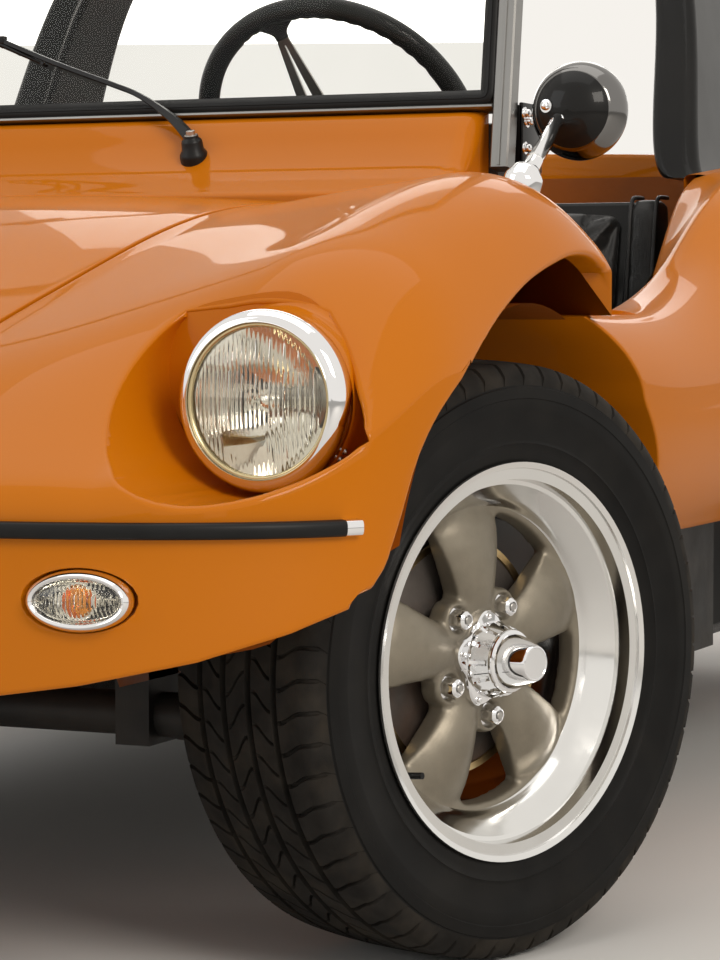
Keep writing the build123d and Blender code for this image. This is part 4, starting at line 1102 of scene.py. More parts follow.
def front_rows(grid_u):
    """Rows from the scuttle to the nose, over its rounded edge and down its face."""
    rounds = [22.0 * (1 - smoothstep(0.80, 1.0, u)) + 0.6 for u in grid_u]
    shortest = min(sum(w > r + 2 for w in BACK_STEPS) for r in rounds)
    rows = []
    for r, u in zip(rounds, grid_u):
        inner = front_point(u, r)
        edge = front_point(u, 0.0)
        low = (edge[0], edge[1], edge[2] - r)
        line = [front_point(u, w) for w in BACK_STEPS if w > r][:shortest]
        line.append(inner)
        for k in range(1, 6):
            line.append(bent(inner, edge, low, k / 6))
        line.append(low)
        for k in range(1, 25):
            line.append((low[0], low[1], mix(low[2], SILL_Z, k / 24)))
        rows.append(line)
    return rows


FAR = 500.0     # what a rule answers where it doesn't apply


def hood_edge(p, gap):
    """Distance outside the front lid's opening, seen from above."""
    x, s = p[0], p[1]
    slope = (405.0 - 322.0) / 590.0
    side = (x - (322.0 + (s + 330.0) * slope)) / math.hypot(1, slope)
    return max(side + gap, -(s + 330.0) + gap, (s - SCUTTLE_STATION) + gap)


SIDE_LAMP = (552, -540, 413)


def side_lamp_hole(p):
    if p[1] >= -450:
        return FAR
    return (math.hypot((p[0] - SIDE_LAMP[0]) / 52.0, (p[2] - SIDE_LAMP[2]) / 30.0) - 1) * 30


FRONT_RULES = {
    "arch": (lambda p: max(polygon_distance(ARCH_LOOP, p[1], p[2]), 735.0 - p[0]), 6.0),
    "under": (lambda p: p[2] - under_line(p[0]) if p[1] < -258 else FAR, 5.0),
    "hood": (lambda p: hood_edge(p, 0.0) if p[2] > 520 else FAR, 2.0),
    "scuttle": (lambda p: max(p[0] - SCUTTLE_HALF, SCUTTLE_STATION - p[1]), 3.0),
    "end": (lambda p: ((176 - p[1]) - (p[0] - 808.0) * 216.0 / 236.0) / math.hypot(1, 216.0 / 236.0),
            9.0),
    "pocket": (lambda p: max(polygon_distance(POCKET_LOOP, p[0], p[2]), p[1] - POCKET_FLOOR + 7.0),
               7.0),
    "lamp": (side_lamp_hole, 1.5),
}


def lip_way(co):
    """The way of the folded lower lip: back along the nose, inward along the wheel arch."""
    turn = smoothstep(-452.0, -385.0, (co.y - FRONT_AXLE_Y) * 1000)
    return Vector((mix(-0.25 * co.x, -1.0, turn), 1.0 - turn, 0.0)), mix(20.0, 30.0, turn)


def build_front():
    grid_u = [k / 110 for k in range(111)]
    top = Skin(FRONT_RULES)
    rows = front_rows(grid_u)
    top.grid(rows)
    lines = []
    for w in BACK_STEPS:
        if w > 2.6:
            x, s, z = front_point(1.0, w)
            lines.append([(x, s, mix(z, SILL_Z, k / 24)) for k in range(25)])
    lines.append(rows[-1][-25:])
    top.grid(lines)
    flanges = {
        "arch": (6.0, lip_way),
        "under": (5.0, lip_way),
        "hood": (2.0, lambda co: (Vector((0, 0, -1)), 16.0)),
        "scuttle": (3.0, lambda co: (Vector((0, 0, -1)), 40.0)),
        "end": (9.0, lambda co: (Vector((0, 0, -1)), max(co.z * 1000 - 672.0, 12.0))),
        "pocket": (7.0, lambda co: (Vector((0, 1, 0)), POCKET_FLOOR - (co.y - FRONT_AXLE_Y) * 1000)),
        "lamp": (1.5, lambda co: (Vector((0, 1, 0)), 30.0)),
    }
    half = top.finish("front_shell", paint, flanges)
    return both_sides_of(half, "front_shell")


front_shell = build_front()
mount(front_shell, "chassis", ("body_front",))


def build_hood():
    rules = {"rim": (lambda p: -hood_edge(p, 6.0), 2.0)}
    lid = Skin(rules)
    inner = Skin(rules)
    grid_u = [k / 72 * 0.6 for k in range(73)]
    rows = [[front_point(u, 880 - 12.0 * k) for k in range(55)] for u in grid_u]
    lid.grid(rows)
    half = lid.finish("front_lid", paint, {"rim": (2.0, lambda co: (Vector((0, 0, -1)), 16.0))})
    inner.grid([[(x, s, z - 17.0) for x, s, z in row] for row in rows], flip=True)
    under = inner.finish("front_lid_lining", paint_inner, {})
    return both_sides_of(joined("front_lid", [half, under]), "front_lid")


front_lid = build_hood()
mount(front_lid, "hood_lid", ("hood",))


def build_scuttle():
    """The rise to the windscreen, one smooth profile with rounded ends."""
    profile = [(262, 760), (262, 806), (264, 816), (275, 823), (300, 838), (322, 855), (342, 876),
               (356, 896), (366, 908), (376, 913), (386, 914), (398, 914), (398, 900), (398, 762)]
    line = smooth_path([Vector((0, a, b)) for a, b in profile], 5)
    verts, faces = [], []
    end = 26.0
    columns = [(-SCUTTLE_HALF + end * (1 - math.cos(math.pi / 2 * k / 8)),
                end * (1 - math.sin(math.pi / 2 * k / 8)))
               for k in range(9)]
    middle = [(-SCUTTLE_HALF + end + (2 * SCUTTLE_HALF - 2 * end) * k / 50, 0.0) for k in range(1, 50)]
    columns = columns + middle + [(-x, d) for x, d in reversed(columns)]
    for x, back in columns:
        for p in line:
            s_, z = p.y, p.z
            if s_ < 396 and z > 800:
                share = smoothstep(812, 850, z)
                s_ = min(s_ + back * share, 398)
            verts.append(at(x, s_, z))
    n = len(line)
    for i in range(len(columns) - 1):
        for j in range(n - 1):
            faces.append((i * n + j, (i + 1) * n + j, (i + 1) * n + j + 1, i * n + j + 1))
    for i, flip in ((0, False), (len(columns) - 1, True)):
        ring = [i * n + j for j in range(n)]
        faces.append(tuple(ring if not flip else ring[::-1]))
    obj = new_object("cowl", verts, faces, paint, True, 50)
    return mount(obj, "chassis", ("scuttle",))


build_scuttle()


TAIL_STATION = 2750.0
TAIL_LAMP_X = 550
LAST_ROW = 2733.0


def rear_lid_edge(p, gap):
    """Distance outside the engine lid's opening, seen from above."""
    if p[2] <= 600:
        return FAR
    return max(p[0] - 330 + gap, 2030 - p[1] + gap, p[1] - 2600 + gap)


def rear_arch(p):
    if p[0] <= 560:
        return FAR
    return math.hypot(p[1] - WHEELBASE * 1000, p[2] - REAR_R * 1000) - 375.5


def build_rear():
    body = Moulding(REAR_SECTIONS)
    low = [natural_spline([r[0] for r in REAR_SECTIONS], [r[k] for r in REAR_SECTIONS])
           for k in (12, 13)]

    def on_body(u, station):
        x, z = body.point(u, station)
        return x, station, z

    def flank(station):
        """The gently crowned side from the widest line down to the lower edge."""
        x, z = body.point(1.0, station)
        xl, zl = low[0](station), low[1](station)
        return [(mix(x, xl, k / 26) + 6 * math.sin(math.pi * k / 26), station, mix(z, zl, k / 26))
                for k in range(27)]

    rules = {
        "arch": (rear_arch, 6.0),
        "cockpit": (lambda p: max(p[0] - 590, p[1] - 1422), 8.0),
        "lid": (lambda p: rear_lid_edge(p, 0.0), 2.0),
        "lamp": (lambda p: max(abs(p[0] - TAIL_LAMP_X) - 50, abs(p[2] - 560) - 30) if p[1] > 2740
                 else FAR, 1.0),
    }
    shell = Skin(rules)
    stations = [1100 + 16.0 * k for k in range(103)] + [LAST_ROW]
    us = [k / 64 for k in range(65)]
    rows = []
    for u in us:
        line = [on_body(u, s_) for s_ in stations]
        x, z = body.point(u, TAIL_STATION)
        corner, end = (x, TAIL_STATION + 2.0, z), (x, TAIL_STATION, z - 17)
        line += [bent(line[-1], corner, end, k / 6) for k in range(1, 6)]
        line.append(end)
        floor = low[1](TAIL_STATION)
        line += [(x, TAIL_STATION, mix(z - 17, floor, k / 18)) for k in range(1, 19)]
        rows.append(line)
    shell.grid(rows)
    shell.grid([flank(s_) for s_ in stations + [TAIL_STATION]])
    flanges = {
        "arch": (6.0, lambda co: (Vector((-1, 0, 0)), 34.0)),
        "cockpit": (8.0, lambda co: (Vector((0, 0, -1)), 60.0)),
        "lid": (2.0, lambda co: (Vector((0, 0, -1)), 16.0)),
        "lamp": (1.0, lambda co: (Vector((0, -1, 0)), 20.0)),
    }
    half = shell.finish("rear_shell", paint, flanges)
    whole = both_sides_of(half, "rear_shell")
    mount(whole, "chassis", ("body_rear",))
    lid_rules = {"rim": (lambda p: -rear_lid_edge(p, 6.0), 2.0)}
    top, under = Skin(lid_rules), Skin(lid_rules)
    grid = [[on_body(u * 0.4, 2020 + 12.0 * k) for k in range(50)] for u in us]
    top.grid(grid)
    half = top.finish("rear_lid", paint, {"rim": (2.0, lambda co: (Vector((0, 0, -1)), 16.0))})
    under.grid([[(x, s_, z - 17.0) for x, s_, z in row] for row in grid], flip=True)
    lining = under.finish("rear_lid_lining", paint_inner, {})
    cover = both_sides_of(joined("rear_lid", [half, lining]), "rear_lid")
    mount(cover, "rear_lid", ("engine_lid",))


build_rear()

WELL_WALL_X = 590.0
WELL_RADIUS = 372
WELL_CENTRE_Z = 313.5
# Each row: station, height of the inner edge, x of the crest, x and z of the widest line, x of the foot
SIDE_SECTIONS = [
    (113, 673, 700, 804, 600, 776), (345, 673, 700, 820, 575, 770), (462, 676, 702, 824, 576, 768),
    (600, 702, 704, 828, 582, 768), (720, 745, 702, 830, 598, 768), (850, 812, 698, 830, 620, 768),
    (960, 852, 694, 830, 636, 776), (1100, 872, 690, 830, 640, 800),
]


SILL_LINE = ((638, 391), (637, 380), (637, 330), (637, 280), (637, 240), (637, 206))


def front_well(p):
    return math.hypot(p[1], p[2] - WELL_CENTRE_Z) - WELL_RADIUS


def to_well_wall(co):
    return Vector((-1, 0, 0)), co.x * 1000 - WELL_WALL_X


def build_sides():
    columns = [natural_spline([r[0] for r in SIDE_SECTIONS], [r[k] for r in SIDE_SECTIONS])
               for k in range(1, 6)]

    def section(s_):
        top, crest, wide, wide_z, foot = [c(s_) for c in columns]
        drop = 150.0 * (1 - smoothstep(820, 1090, s_))
        line = [(604, top - 60 - drop), (604, top - 16 - drop), (612, top - 8 - 0.92 * drop)]
        line += [(640, top - 0.60 * drop), (664, top - 0.28 * drop), (680, top - 0.10 * drop),
                 (690, top - 0.02 * drop)]
        for k in range(19):
            line.append(arc_point((700, top), ((crest + wide) / 2 + 32, (top + wide_z) / 2 + 30),
                                  (wide, wide_z), k / 18))
        for k in range(1, 13):
            line.append(arc_point((wide, wide_z), (wide - 8, (wide_z + 415) / 2), (foot, 415), k / 12))
        line += [(foot - 4, 410), (foot - 16, 407), (640, 397), (638, 390)]
        return line

    rules = {
        "arch": (lambda p: polygon_distance(ARCH_LOOP, p[1], p[2]) if p[0] > WELL_WALL_X else FAR, 3.0),
        "well": (front_well, 3.0),
        "top": (lambda p: 672.6 - p[2] if p[1] < 392 else FAR, 0.2),
    }
    skin = Skin(rules)
    stations = [113 + 9.4 * k for k in range(106)]
    skin.grid([[(x, s_, z) for x, z in section(s_)] for s_ in stations])
    flanges = {
        "arch": (3.0, to_well_wall),
        "well": (3.0, to_well_wall),
        "top": (0.2, to_well_wall),
    }
    outer = skin.finish("side_left", paint, flanges)
    finish_mesh(outer, True, 48, merge=None)
    sill = Skin({"well": (front_well, 3.0)})
    sill.grid([[(x, s_, z) for x, z in SILL_LINE] for s_ in stations])
    rail = sill.finish("side_rail", chassis_black, {})
    left = joined("side_left", [outer, rail])
    right = copy_of(left, "side_right", mirror_x())
    mount(left, "chassis", ("body_side_left",))
    mount(right, "chassis", ("body_side_right",))


build_sides()


def height_at(x, s):
    """Height of the front moulding above a plan point."""
    low, high = 0.0, 1.0
    for _ in range(18):
        middle = (low + high) / 2
        if front_body.point(middle, s)[0] < abs(x):
            low = middle
        else:
            high = middle
    return front_body.point(low, s)[1]


def build_linings():
    """Wheel-arch liners, locker, bulkheads and cockpit walls: the moulding's inner faces."""
    parts = []

    def sheet(name, points, material=paint_inner):
        n = len(points[0])
        verts = [at(*p) for row in points for p in row]
        faces = []
        for i in range(len(points) - 1):
            for j in range(n - 1):
                faces.append((i * n + j, (i + 1) * n + j, (i + 1) * n + j + 1, i * n + j + 1))
        parts.append(new_object(name, verts, faces, material, True, 40))

    def below_skin(p):
        return height_at(p[0], max(-630, min(400, p[1]))) - 12 - p[2]

    def well_foot(x):
        return under_line(x) + 45.0 * smoothstep(640.0, 720.0, x)

    well_rules = {
        "skin": (below_skin, 0.0),
        "nose": (lambda p: p[1] - nose_line(abs(p[0])) - 10, 0.0),
        "under": (lambda p: p[2] - (well_foot(abs(p[0])) if p[1] < -258 else SILL_Z), 0.0),
        "side": (lambda p: max(WELL_WALL_X - abs(p[0]), 113.0 - p[1], p[2] - 673.0), 0.0),
    }
    wells = Skin(well_rules)
    wells.grid([[(420 + 17.75 * k, WELL_RADIUS * math.cos(math.radians(a)),
                  WELL_CENTRE_Z + WELL_RADIUS * math.sin(math.radians(a))) for a in range(-8, 190, 4)]
                for k in range(21)])
    wells.grid([[(420, -520 + 16 * k, z) for k in range(56)]
                for z in [290 + 15 * j for j in range(37)]])
    left = wells.finish("well_1", paint_inner, {})
    parts += [left, copy_of(left, "well_2", mirror_x())]
    # Locker tub
    sheet("locker_floor", [[(x, s_, z) for x in (-402, 402)]
                           for s_, z in ((-384, 440), (240, 440), (240, 750))])
    locker_top = ((-384, 600), (-200, 690), (0, 745), (240, 780))
    for side in (1, -1):
        sheet("locker_side_%d" % side, [[(side * 401, s_, 440) for s_, _ in locker_top],
                                        [(side * 401, s_, z) for s_, z in locker_top]])
    # Pocket floors behind the headlamps
    for side in (1, -1):
        lamp_x, _, lamp_z = HEADLAMP
        ring = [(side * (lamp_x + (x - lamp_x) * 1.02), POCKET_FLOOR, lamp_z + (z - lamp_z) * 1.02)
                for x, z in POCKET_LOOP]
        verts = [at(*p) for p in ring] + [at(side * lamp_x, POCKET_FLOOR, lamp_z)]
        faces = [(k, (k + 1) % len(ring), len(ring)) for k in range(len(ring))]
        parts.append(new_object("pocket_floor_%d" % side, verts, faces, paint, True))
    # Rear bulkhead, cockpit walls and rear wells
    sheet("bulkhead", [[(x, 1400, z) for x in (-600, -300, 0, 300, 600)] for z in (222, 500, 880)])
    wall_top = ((400, 590), (700, 600), (1000, 760), (1400, 880))
    half_turn = [math.radians(a) for a in range(0, 181, 6)]
    for side in (1, -1):
        sheet("cockpit_wall_%d" % side, [[(side * 597, s_, 222) for s_, _ in wall_top],
                                         [(side * 597, s_, z) for s_, z in wall_top]], black_gloss)
        rows = [[(side * x, 2150 + 375 * math.cos(a), 331.5 + 375 * math.sin(a)) for a in half_turn]
                for x in (540, 620, 700, 780, 800)]
        sheet("rear_well_%d" % side, rows)
    whole = joined("inner_faces", parts)
    mount(whole, "chassis")


build_linings()


# Lamps and the nose strip. A lamp is turned round the X axis and then faced forward.
def facing(obj, x, station, z):
    turn = Matrix.Rotation(math.radians(-90), 4, "Z")
    return transform(obj, Matrix.Translation(at(x, station, z)) @ turn)


def fluted_lens(name, half_width, half_height, dome, thickness, pitch, columns, rows, clear=None):
    """A domed lens whose back carries upright flutes. It faces +X, with its width along Y."""
    verts, faces = [], []
    for side in (0, 1):
        for i in range(columns + 1):
            y = mix(-half_width, half_width, i / columns)
            reach = half_height * math.sqrt(max(1 - (y / half_width) ** 2, 1e-6))
            for j in range(rows + 1):
                z = mix(-reach, reach, j / rows)
                rim = math.hypot(y / half_width, z / half_height)
                x = dome * (1 - rim * rim)
                if side:
                    depth = thickness
                    if rim < 0.95 and not (clear and clear(y, z)):
                        across = (y / pitch) % 1.0
                        slant = 0.35 * math.sin(z / half_height
                                                * 2.2) if abs(z) > 0.45 * half_height else 0.0
                        depth += 0.0011 * math.sin(math.pi
                                                   * ((across + slant) % 1.0)) * smoothstep(0.95, 0.9,
                                                                                            rim)
                    x -= depth
                verts.append((x, y, z))
    count = (columns + 1) * (rows + 1)
    for side in (0, 1):
        for i in range(columns):
            for j in range(rows):
                a = side * count + i * (rows + 1) + j
                quad = (a, a + rows + 1, a + rows + 2, a + 1)
                faces.append(quad if not side else quad[::-1])
    for i in range(columns):
        for j in (0, rows):
            a = i * (rows + 1) + j
            faces.append((a, a + rows + 1, count + a + rows + 1, count + a))
    for i in (0, columns):
        for j in range(rows):
            a = i * (rows + 1) + j
            faces.append((a, a + 1, count + a + 1, count + a))
    return new_object(name, verts, faces, lamp_glass, True, 60)


def build_headlamp():
    """Bezel, painted pod, glass rim, fluted lens, reflector and shielded bulb of the left lamp."""
    bezel = [(42, 80), (44, 86), (46, 87), (60, 87.4)]
    bezel += [(60 + 15 * math.sin(math.radians(9 * k)), 75.5 + 11.9 * math.cos(math.radians(9 * k)))
              for k in range(1, 11)]
    bezel += [(75.6, 75.0), (74.4, 74.6), (71, 75.0), (66, 75.6), (56, 76.5), (46, 76.5)]
    ring = lathe_mm("bezel", bezel, 128, chrome, 60)
    seal = lathe_mm("lamp_pod", [(44, 79), (43.5, 84), (40, 85), (24, 85.6), (10, 87.5), (3, 91),
                                 (0, 95)], 96, paint, 50,
                 closed=False)
    # The seal ring round the lens carries a painted reflection: a gold metallic colour that stands for
    # the cream-gold light seen on it
    rim = lathe_mm("glass_rim", [(60, 76.0), (70, 75.2), (72.6, 74.2), (73.4, 72.8), (72.8, 71.4),
                                 (70.6, 70.4), (67.5, 70.0), (60, 70.4)], 128, seal_rim_painted_reflection, 60)

    def clear(y, z):
        return (-0.038 < y < 0.010 and -0.056 < z < -0.026) or math.hypot(y, z) < 0.009

    lens = fluted_lens("lens", 0.0712, 0.0712, 0.0080, 0.0022, 0.0048, 168, 30, clear)
    transform(lens, Matrix.Translation((0.0700, 0, 0)))
    bowl_profile = []
    for k in range(25):
        r = mix(70.5, 13.0, k / 24)
        bowl_profile.append((8 + 53.0 * (r / 70.5) ** 2, r))
    bowl = lathe_mm("reflector", bowl_profile, 96, reflector_metal, 80, closed=False)
    holder = lathe_mm("bulb_holder", [(9, 13.2), (16, 13), (17, 11), (17, 6.5), (20, 6), (20, 0.02)],
                      40, brushed, 40, closed=False)
    bulb = lathe_mm("bulb", [(19, 5.6), (30, 6.3), (38, 5.6), (42, 3.6), (43.5, 0.02)], 32, lamp_glass,
                    60, closed=False)
    shield = lathe_mm("bulb_shield", [(40, 10.6), (41, 11.4), (47, 11.2), (52, 9.4), (55, 6.0),
                                      (56, 2.5), (56.2, 0.02)],
                   40, reflector_metal, 60, closed=False)
    legs = []
    for k in range(3):
        a = math.radians(90 + 120 * k)
        path = [Vector((0.016, 0.0128 * math.cos(a), 0.0128 * math.sin(a))),
                Vector((0.044, 0.0112 * math.cos(a), 0.0112 * math.sin(a)))]
        legs.append(tube("shield_leg_%d" % k, path, 0.0009, steel, 8))
    lamp = joined("headlamp", [ring, seal, rim, lens, bowl, holder, bulb, shield] + legs)
    for k, a in enumerate((-34, -40)):
        way = Vector((0.0, math.cos(math.radians(a)), math.sin(math.radians(a))))
        spot = Vector((0.030, 0, 0)) + way * 0.0855
        lamp = joined("headlamp", [lamp, bolt("lamp_screw_%d" % k, spot, way, 0.0022, 0.0022, steel)])
    return facing(lamp, *HEADLAMP)


reflector_metal = node_material("lamp_reflector", (0.90, 0.89, 0.86), 0.035, 1.0, vary=0.03,
                                vary_scale=40.0, rough_vary=0.02, rough_scale=60.0)
# Painted reflection: this gold colour on the lens's seal ring stands in for the cream-gold light the
# seal reflects
seal_rim_painted_reflection = node_material("headlamp_rim_painted_gold_reflection", (0.62, 0.52, 0.30), 0.22, 0.75, vary=0.1, vary_scale=50.0,
                          rough_vary=0.06)


def lamp_material(name, color, rough, ior=1.5):
    material = node_material(name, color, rough, vary=0.02, rough_vary=0.01)
    shader = material.node_tree.nodes["Principled BSDF"]
    shader.inputs["Transmission Weight"].default_value = 1.0
    shader.inputs["IOR"].default_value = ior
    return material


lamp_glass = lamp_material("lamp_glass", (0.93, 0.91, 0.85), 0.015)
amber_glass = lamp_material("amber_glass", (0.90, 0.34, 0.03), 0.05)
red_glass = lamp_material("red_glass", (0.62, 0.02, 0.015), 0.06)
left_headlamp = build_headlamp()
mount(left_headlamp, "chassis", ("headlamp_rings", "headlamp_lenses"))
mount(copy_of(left_headlamp, "headlamp_right", mirror_x()), "chassis")


def oval_lathe(name, profile, half_width, half_height, segments, material, sharp_deg=50, closed=True):
    """Profile points (x, inset) carried round an oval; inset is measured in from the oval's edge."""
    verts = []
    count = len(profile)
    for k in range(segments):
        a = 2 * math.pi * k / segments
        for x, inset in profile:
            verts.append((x * 0.001, (half_width - inset) * math.cos(a) * 0.001,
                          (half_height - inset) * math.sin(a) * 0.001))
    return new_object(name, verts, turned_faces(segments, count, closed), material, True, sharp_deg)


SIDE_LAMP_TURN = math.radians(10.0)


def build_side_lamp():
    """The low oval lamp: chrome rim, smoky fluted lens, inner mirror and bulb."""
    rim = oval_lathe("side_lamp_rim", [(0, 1), (24, 0), (34, 0.6), (39, 2.6), (41, 5.2), (40, 7.8),
                                       (37.5, 9.0), (30, 9.6), (0, 10)], 51, 29, 96, chrome)
    lens = fluted_lens("side_lamp_lens", 0.0418, 0.0198, 0.0085, 0.0020, 0.0040, 110, 16)
    transform(lens, Matrix.Translation((0.0352, 0, 0)))
    inner = oval_lathe("side_lamp_inner", [(34, 9.6), (33, 12), (26, 13.2), (12, 17), (8, 22),
                                           (7, 28.9)], 51, 29, 72,
                       reflector_metal, 60, closed=False)
    cup = lathe("side_lamp_cup", [(0.030, 0.0172), (0.0312, 0.0165), (0.0312, 0.0150), (0.020, 0.0125),
                                  (0.012, 0.0060), (0.011, 0.0002)], 48, reflector_metal, 50,
                closed=False)
    bulb = lathe("side_lamp_bulb", [(0.012, 0.0055), (0.020, 0.0082), (0.026, 0.0080), (0.031, 0.0050),
                                    (0.0325, 0.0002)], 32, amber_glass, 60, closed=False)
    lamp = joined("side_lamp", [rim, lens, inner, cup, bulb])
    transform(lamp, Matrix.Translation((0.018, 0, 0)) @ Matrix.Rotation(SIDE_LAMP_TURN, 4, "Z")
              @ Matrix.Translation((-0.018, 0, 0)))
    return facing(lamp, *SIDE_LAMP)


left_side_lamp = build_side_lamp()
mount(left_side_lamp, "chassis", ("front_lamps",))
mount(copy_of(left_side_lamp, "side_lamp_right", mirror_x()), "chassis")


STRIP_Z = 477
STRIP_END_X = 757


def build_strip():
    """Rounded rubber strip round the nose, with a bright cap at each end."""
    section = [(0.2, -8), (6.5, -7.6), (9.0, -6.0), (10.0, -3.2), (10.2, 0), (10.0, 3.2), (9.0, 6.0),
               (6.5, 7.6), (0.2, 8)]
    line = [(x, s) for x, s in clamped_curve(NOSE_PLAN, (1, 0), (0, 1), 480) if x <= STRIP_END_X]
    path = [(-x, s) for x, s in reversed(line[1:])] + line

    def ribbon(name, points, material):
        verts, faces = [], []
        count = len(section)
        for i, (x, s) in enumerate(points):
            x0, s0 = points[max(i - 1, 0)]
            x1, s1 = points[min(i + 1, len(points) - 1)]
            length = math.hypot(x1 - x0, s1 - s0)
            out_x, out_s = (s1 - s0) / length, -(x1 - x0) / length
            for reach, z in section:
                verts.append(at(x + out_x * reach, s + out_s * reach, STRIP_Z + z))
        for i in range(len(points) - 1):
            for j in range(count - 1):
                faces.append((i * count + j, (i + 1) * count + j, (i + 1) * count + j + 1,
                              i * count + j + 1))
        faces.append(tuple(range(count)))
        faces.append(tuple(range((len(points) - 1) * count, len(points) * count)))
        return new_object(name, verts, faces, material, True, 50)

    strip = ribbon("nose_band", path, trim_rubber)
    caps = []
    full = clamped_curve(NOSE_PLAN, (1, 0), (0, 1), 960)
    tip = [(x, s) for x, s in full if 756 <= x <= 766]
    for side in (1, -1):
        points = [(side * x, s) for x, s in tip]
        if side < 0:
            points = points[::-1]
        cap = ribbon("nose_band_cap_%d" % side, points, chrome)
        caps.append(cap)
    return joined("nose_band", [strip] + caps)


mount(build_strip(), "chassis", ("nose_strip",))


def ordered(a, b):
    """The low and the high corner of the box between two points."""
    return Vector([min(p, q) for p, q in zip(a, b)]), Vector([max(p, q) for p, q in zip(a, b)])


def build_tail_lamps():
    parts = []
    for side in (1, -1):
        middle = side * TAIL_LAMP_X
        low, high = ordered(at(middle - 50, 2751, 530), at(middle + 50, 2757, 590))
        parts.append(box_object("tail_base_%d" % side, low, high, chrome, 0.0028))
        for part, (x0, x1), material in (("stop", (-44, 14), red_glass),
                                         ("turn", (16, 44), amber_glass)):
            low, high = ordered(at(middle + side * x0, 2753, 535), at(middle + side * x1, 2764, 585))
            parts.append(box_object("tail_%s_%d" % (part, side), low, high, material, 0.004))
            low.y, high.y = at(0, 2752, 0).y, at(0, 2753.4, 0).y
            parts.append(box_object("tail_back_%s_%d" % (part, side), low, high, reflector_metal,
                                    0.0003, 1))
        for x in (-47, 47):
            parts.append(bolt("tail_screw_%d_%d" % (side, x), at(middle + x, 2757, 560),
                              Vector((0, 1, 0)), 0.0022, 0.002, steel))
    return joined("tail_lamp_pair", parts)


mount(build_tail_lamps(), "chassis", ("tail_lamps",))


# Windscreen. Heights run up the raked plane, widths across it and depths out of it, in millimetres.
SCREEN_TILT = math.radians(12.0)
SCREEN_FOOT = (384.0, 915.0)


def on_screen(x, up, out):
    """A point on the windscreen's plane; out is towards the nose."""
    s = SCREEN_FOOT[0] + up * math.sin(SCREEN_TILT) - out * math.cos(SCREEN_TILT)
    z = SCREEN_FOOT[1] + up * math.cos(SCREEN_TILT) + out * math.sin(SCREEN_TILT)
    return at(x, s, z)


def screen_edge(up):
    return 610.0 - 13.4 * up / 460.0


def swept_loop(name, loop, section, material, closed=True):
    """Carries a section of (outward, out) points round a loop of (x, up, outward x, outward up)."""
    verts, faces = [], []
    count = len(section)
    for x, up, nx, nz in loop:
        for away, out in section:
            verts.append(on_screen(x + nx * away, up + nz * away, out))
    n = len(loop)
    for i in range(n if closed else n - 1):
        k = (i + 1) % n
        for j in range(count):
            m = (j + 1) % count
            faces.append((i * count + j, k * count + j, k * count + m, i * count + m))
    if not closed:
        faces.append(tuple(range(count)))
        faces.append(tuple(range((n - 1) * count, n * count)))
    return new_object(name, verts, faces, material, True, 40)


def round_corners(points, radius):
    """A closed loop with rounded corners and its outward directions."""
    out = []
    n = len(points)
    for i in range(n):
        p, a, b = Vector(points[i]), Vector(points[i - 1]), Vector(points[(i + 1) % n])
        into, onward = (p - a).normalized(), (b - p).normalized()
        for k in range(7):
            t = k / 6
            start, end = p - into * radius, p + onward * radius
            q = (1 - t) ** 2 * start + 2 * t * (1 - t) * p + t * t * end
            way = (into * (1 - t) + onward * t).normalized()
            out.append((q.x, q.y, way.y, -way.x))
    return out


def build_windscreen():
    parts = []
    alu = [(-23, -13), (-23, 11), (-21, 13), (-2, 13), (0, 11), (0, -11), (-2, -13)]
    for side in (1, -1):
        line = [(side * screen_edge(up), up, side, 0.0) for up in (-72, 0, 120, 240, 360, 458)]
        parts.append(swept_loop("post_%d" % side, line, [(a, o) for a, o in alu], anodised,
                                closed=False))
        groove = [(side * (screen_edge(up) - 11.5), up, side, 0.0) for up in (-70, 200, 458)]
        parts.append(swept_loop("post_bead_%d" % side, groove,
                                [(-2.2, 12.6), (-1.2, 14.6), (1.2, 14.6), (2.2, 12.6)], anodised,
                                closed=False))
    top = [(mix(-575, 575, k / 12), 460, 0.0, 1.0) for k in range(13)]
    parts.append(swept_loop("top_rail", top, [(-18, -13), (-18, 11), (-16, 13), (-2, 13), (0, 11),
                                              (0, -11), (-2, -13)],
                            anodised, closed=False))
    foot = [(mix(-587, 587, k / 12), 0, 0.0, -1.0) for k in range(13)]
    parts.append(swept_loop("foot_bead", foot, [(-4.6, -13), (-4.8, 13.5), (-3.4, 15.2), (-1.0, 15.2),
                                                (0.4, 13.5), (0.4, -13)], anodised, closed=False))
    corners = [(-587, 5), (587, 5), (574, 442), (-574, 442)]
    loop = round_corners(corners, 20)
    rubber = [(0, -9), (0.4, 0), (0, 9), (-3, 11.5), (-8, 12.2), (-13, 10.5), (-16.5, 7.0),
              (-19.5, 4.6), (-19.5, -4.6), (-16.5, -8), (-8, -11.5), (-3, -11)]
    parts.append(swept_loop("glazing_rubber", loop, rubber, trim_rubber))
    key = [(-9.6, 11.4), (-9.0, 13.0), (-7.0, 13.2), (-6.2, 11.4)]
    parts.append(swept_loop("glazing_key", loop, key, trim_rubber))
    return joined("screen_surround", parts)


def build_pane():
    verts = [on_screen(x, up, out) for out in (-2.5, 2.5)
             for x, up in ((-578, 12), (578, 12), (565, 434), (-565, 434))]
    faces = [(0, 1, 2, 3), (4, 5, 6, 7)] + [(k, (k + 1) % 4, (k + 1) % 4 + 4, k + 4) for k in range(4)]
    return new_object("screen_pane", verts, faces, clear_glass, False)


clear_glass = lamp_material("clear_glass", (0.94, 0.95, 0.93), 0.01, 1.12)
mount(build_windscreen(), "chassis", ("windscreen_frame",))
mount(build_pane(), "chassis", ("windscreen_glass",))


BRACKET_NUTS = ((404, 912), (412, 903), (406, 871), (452, 905), (452, 862))


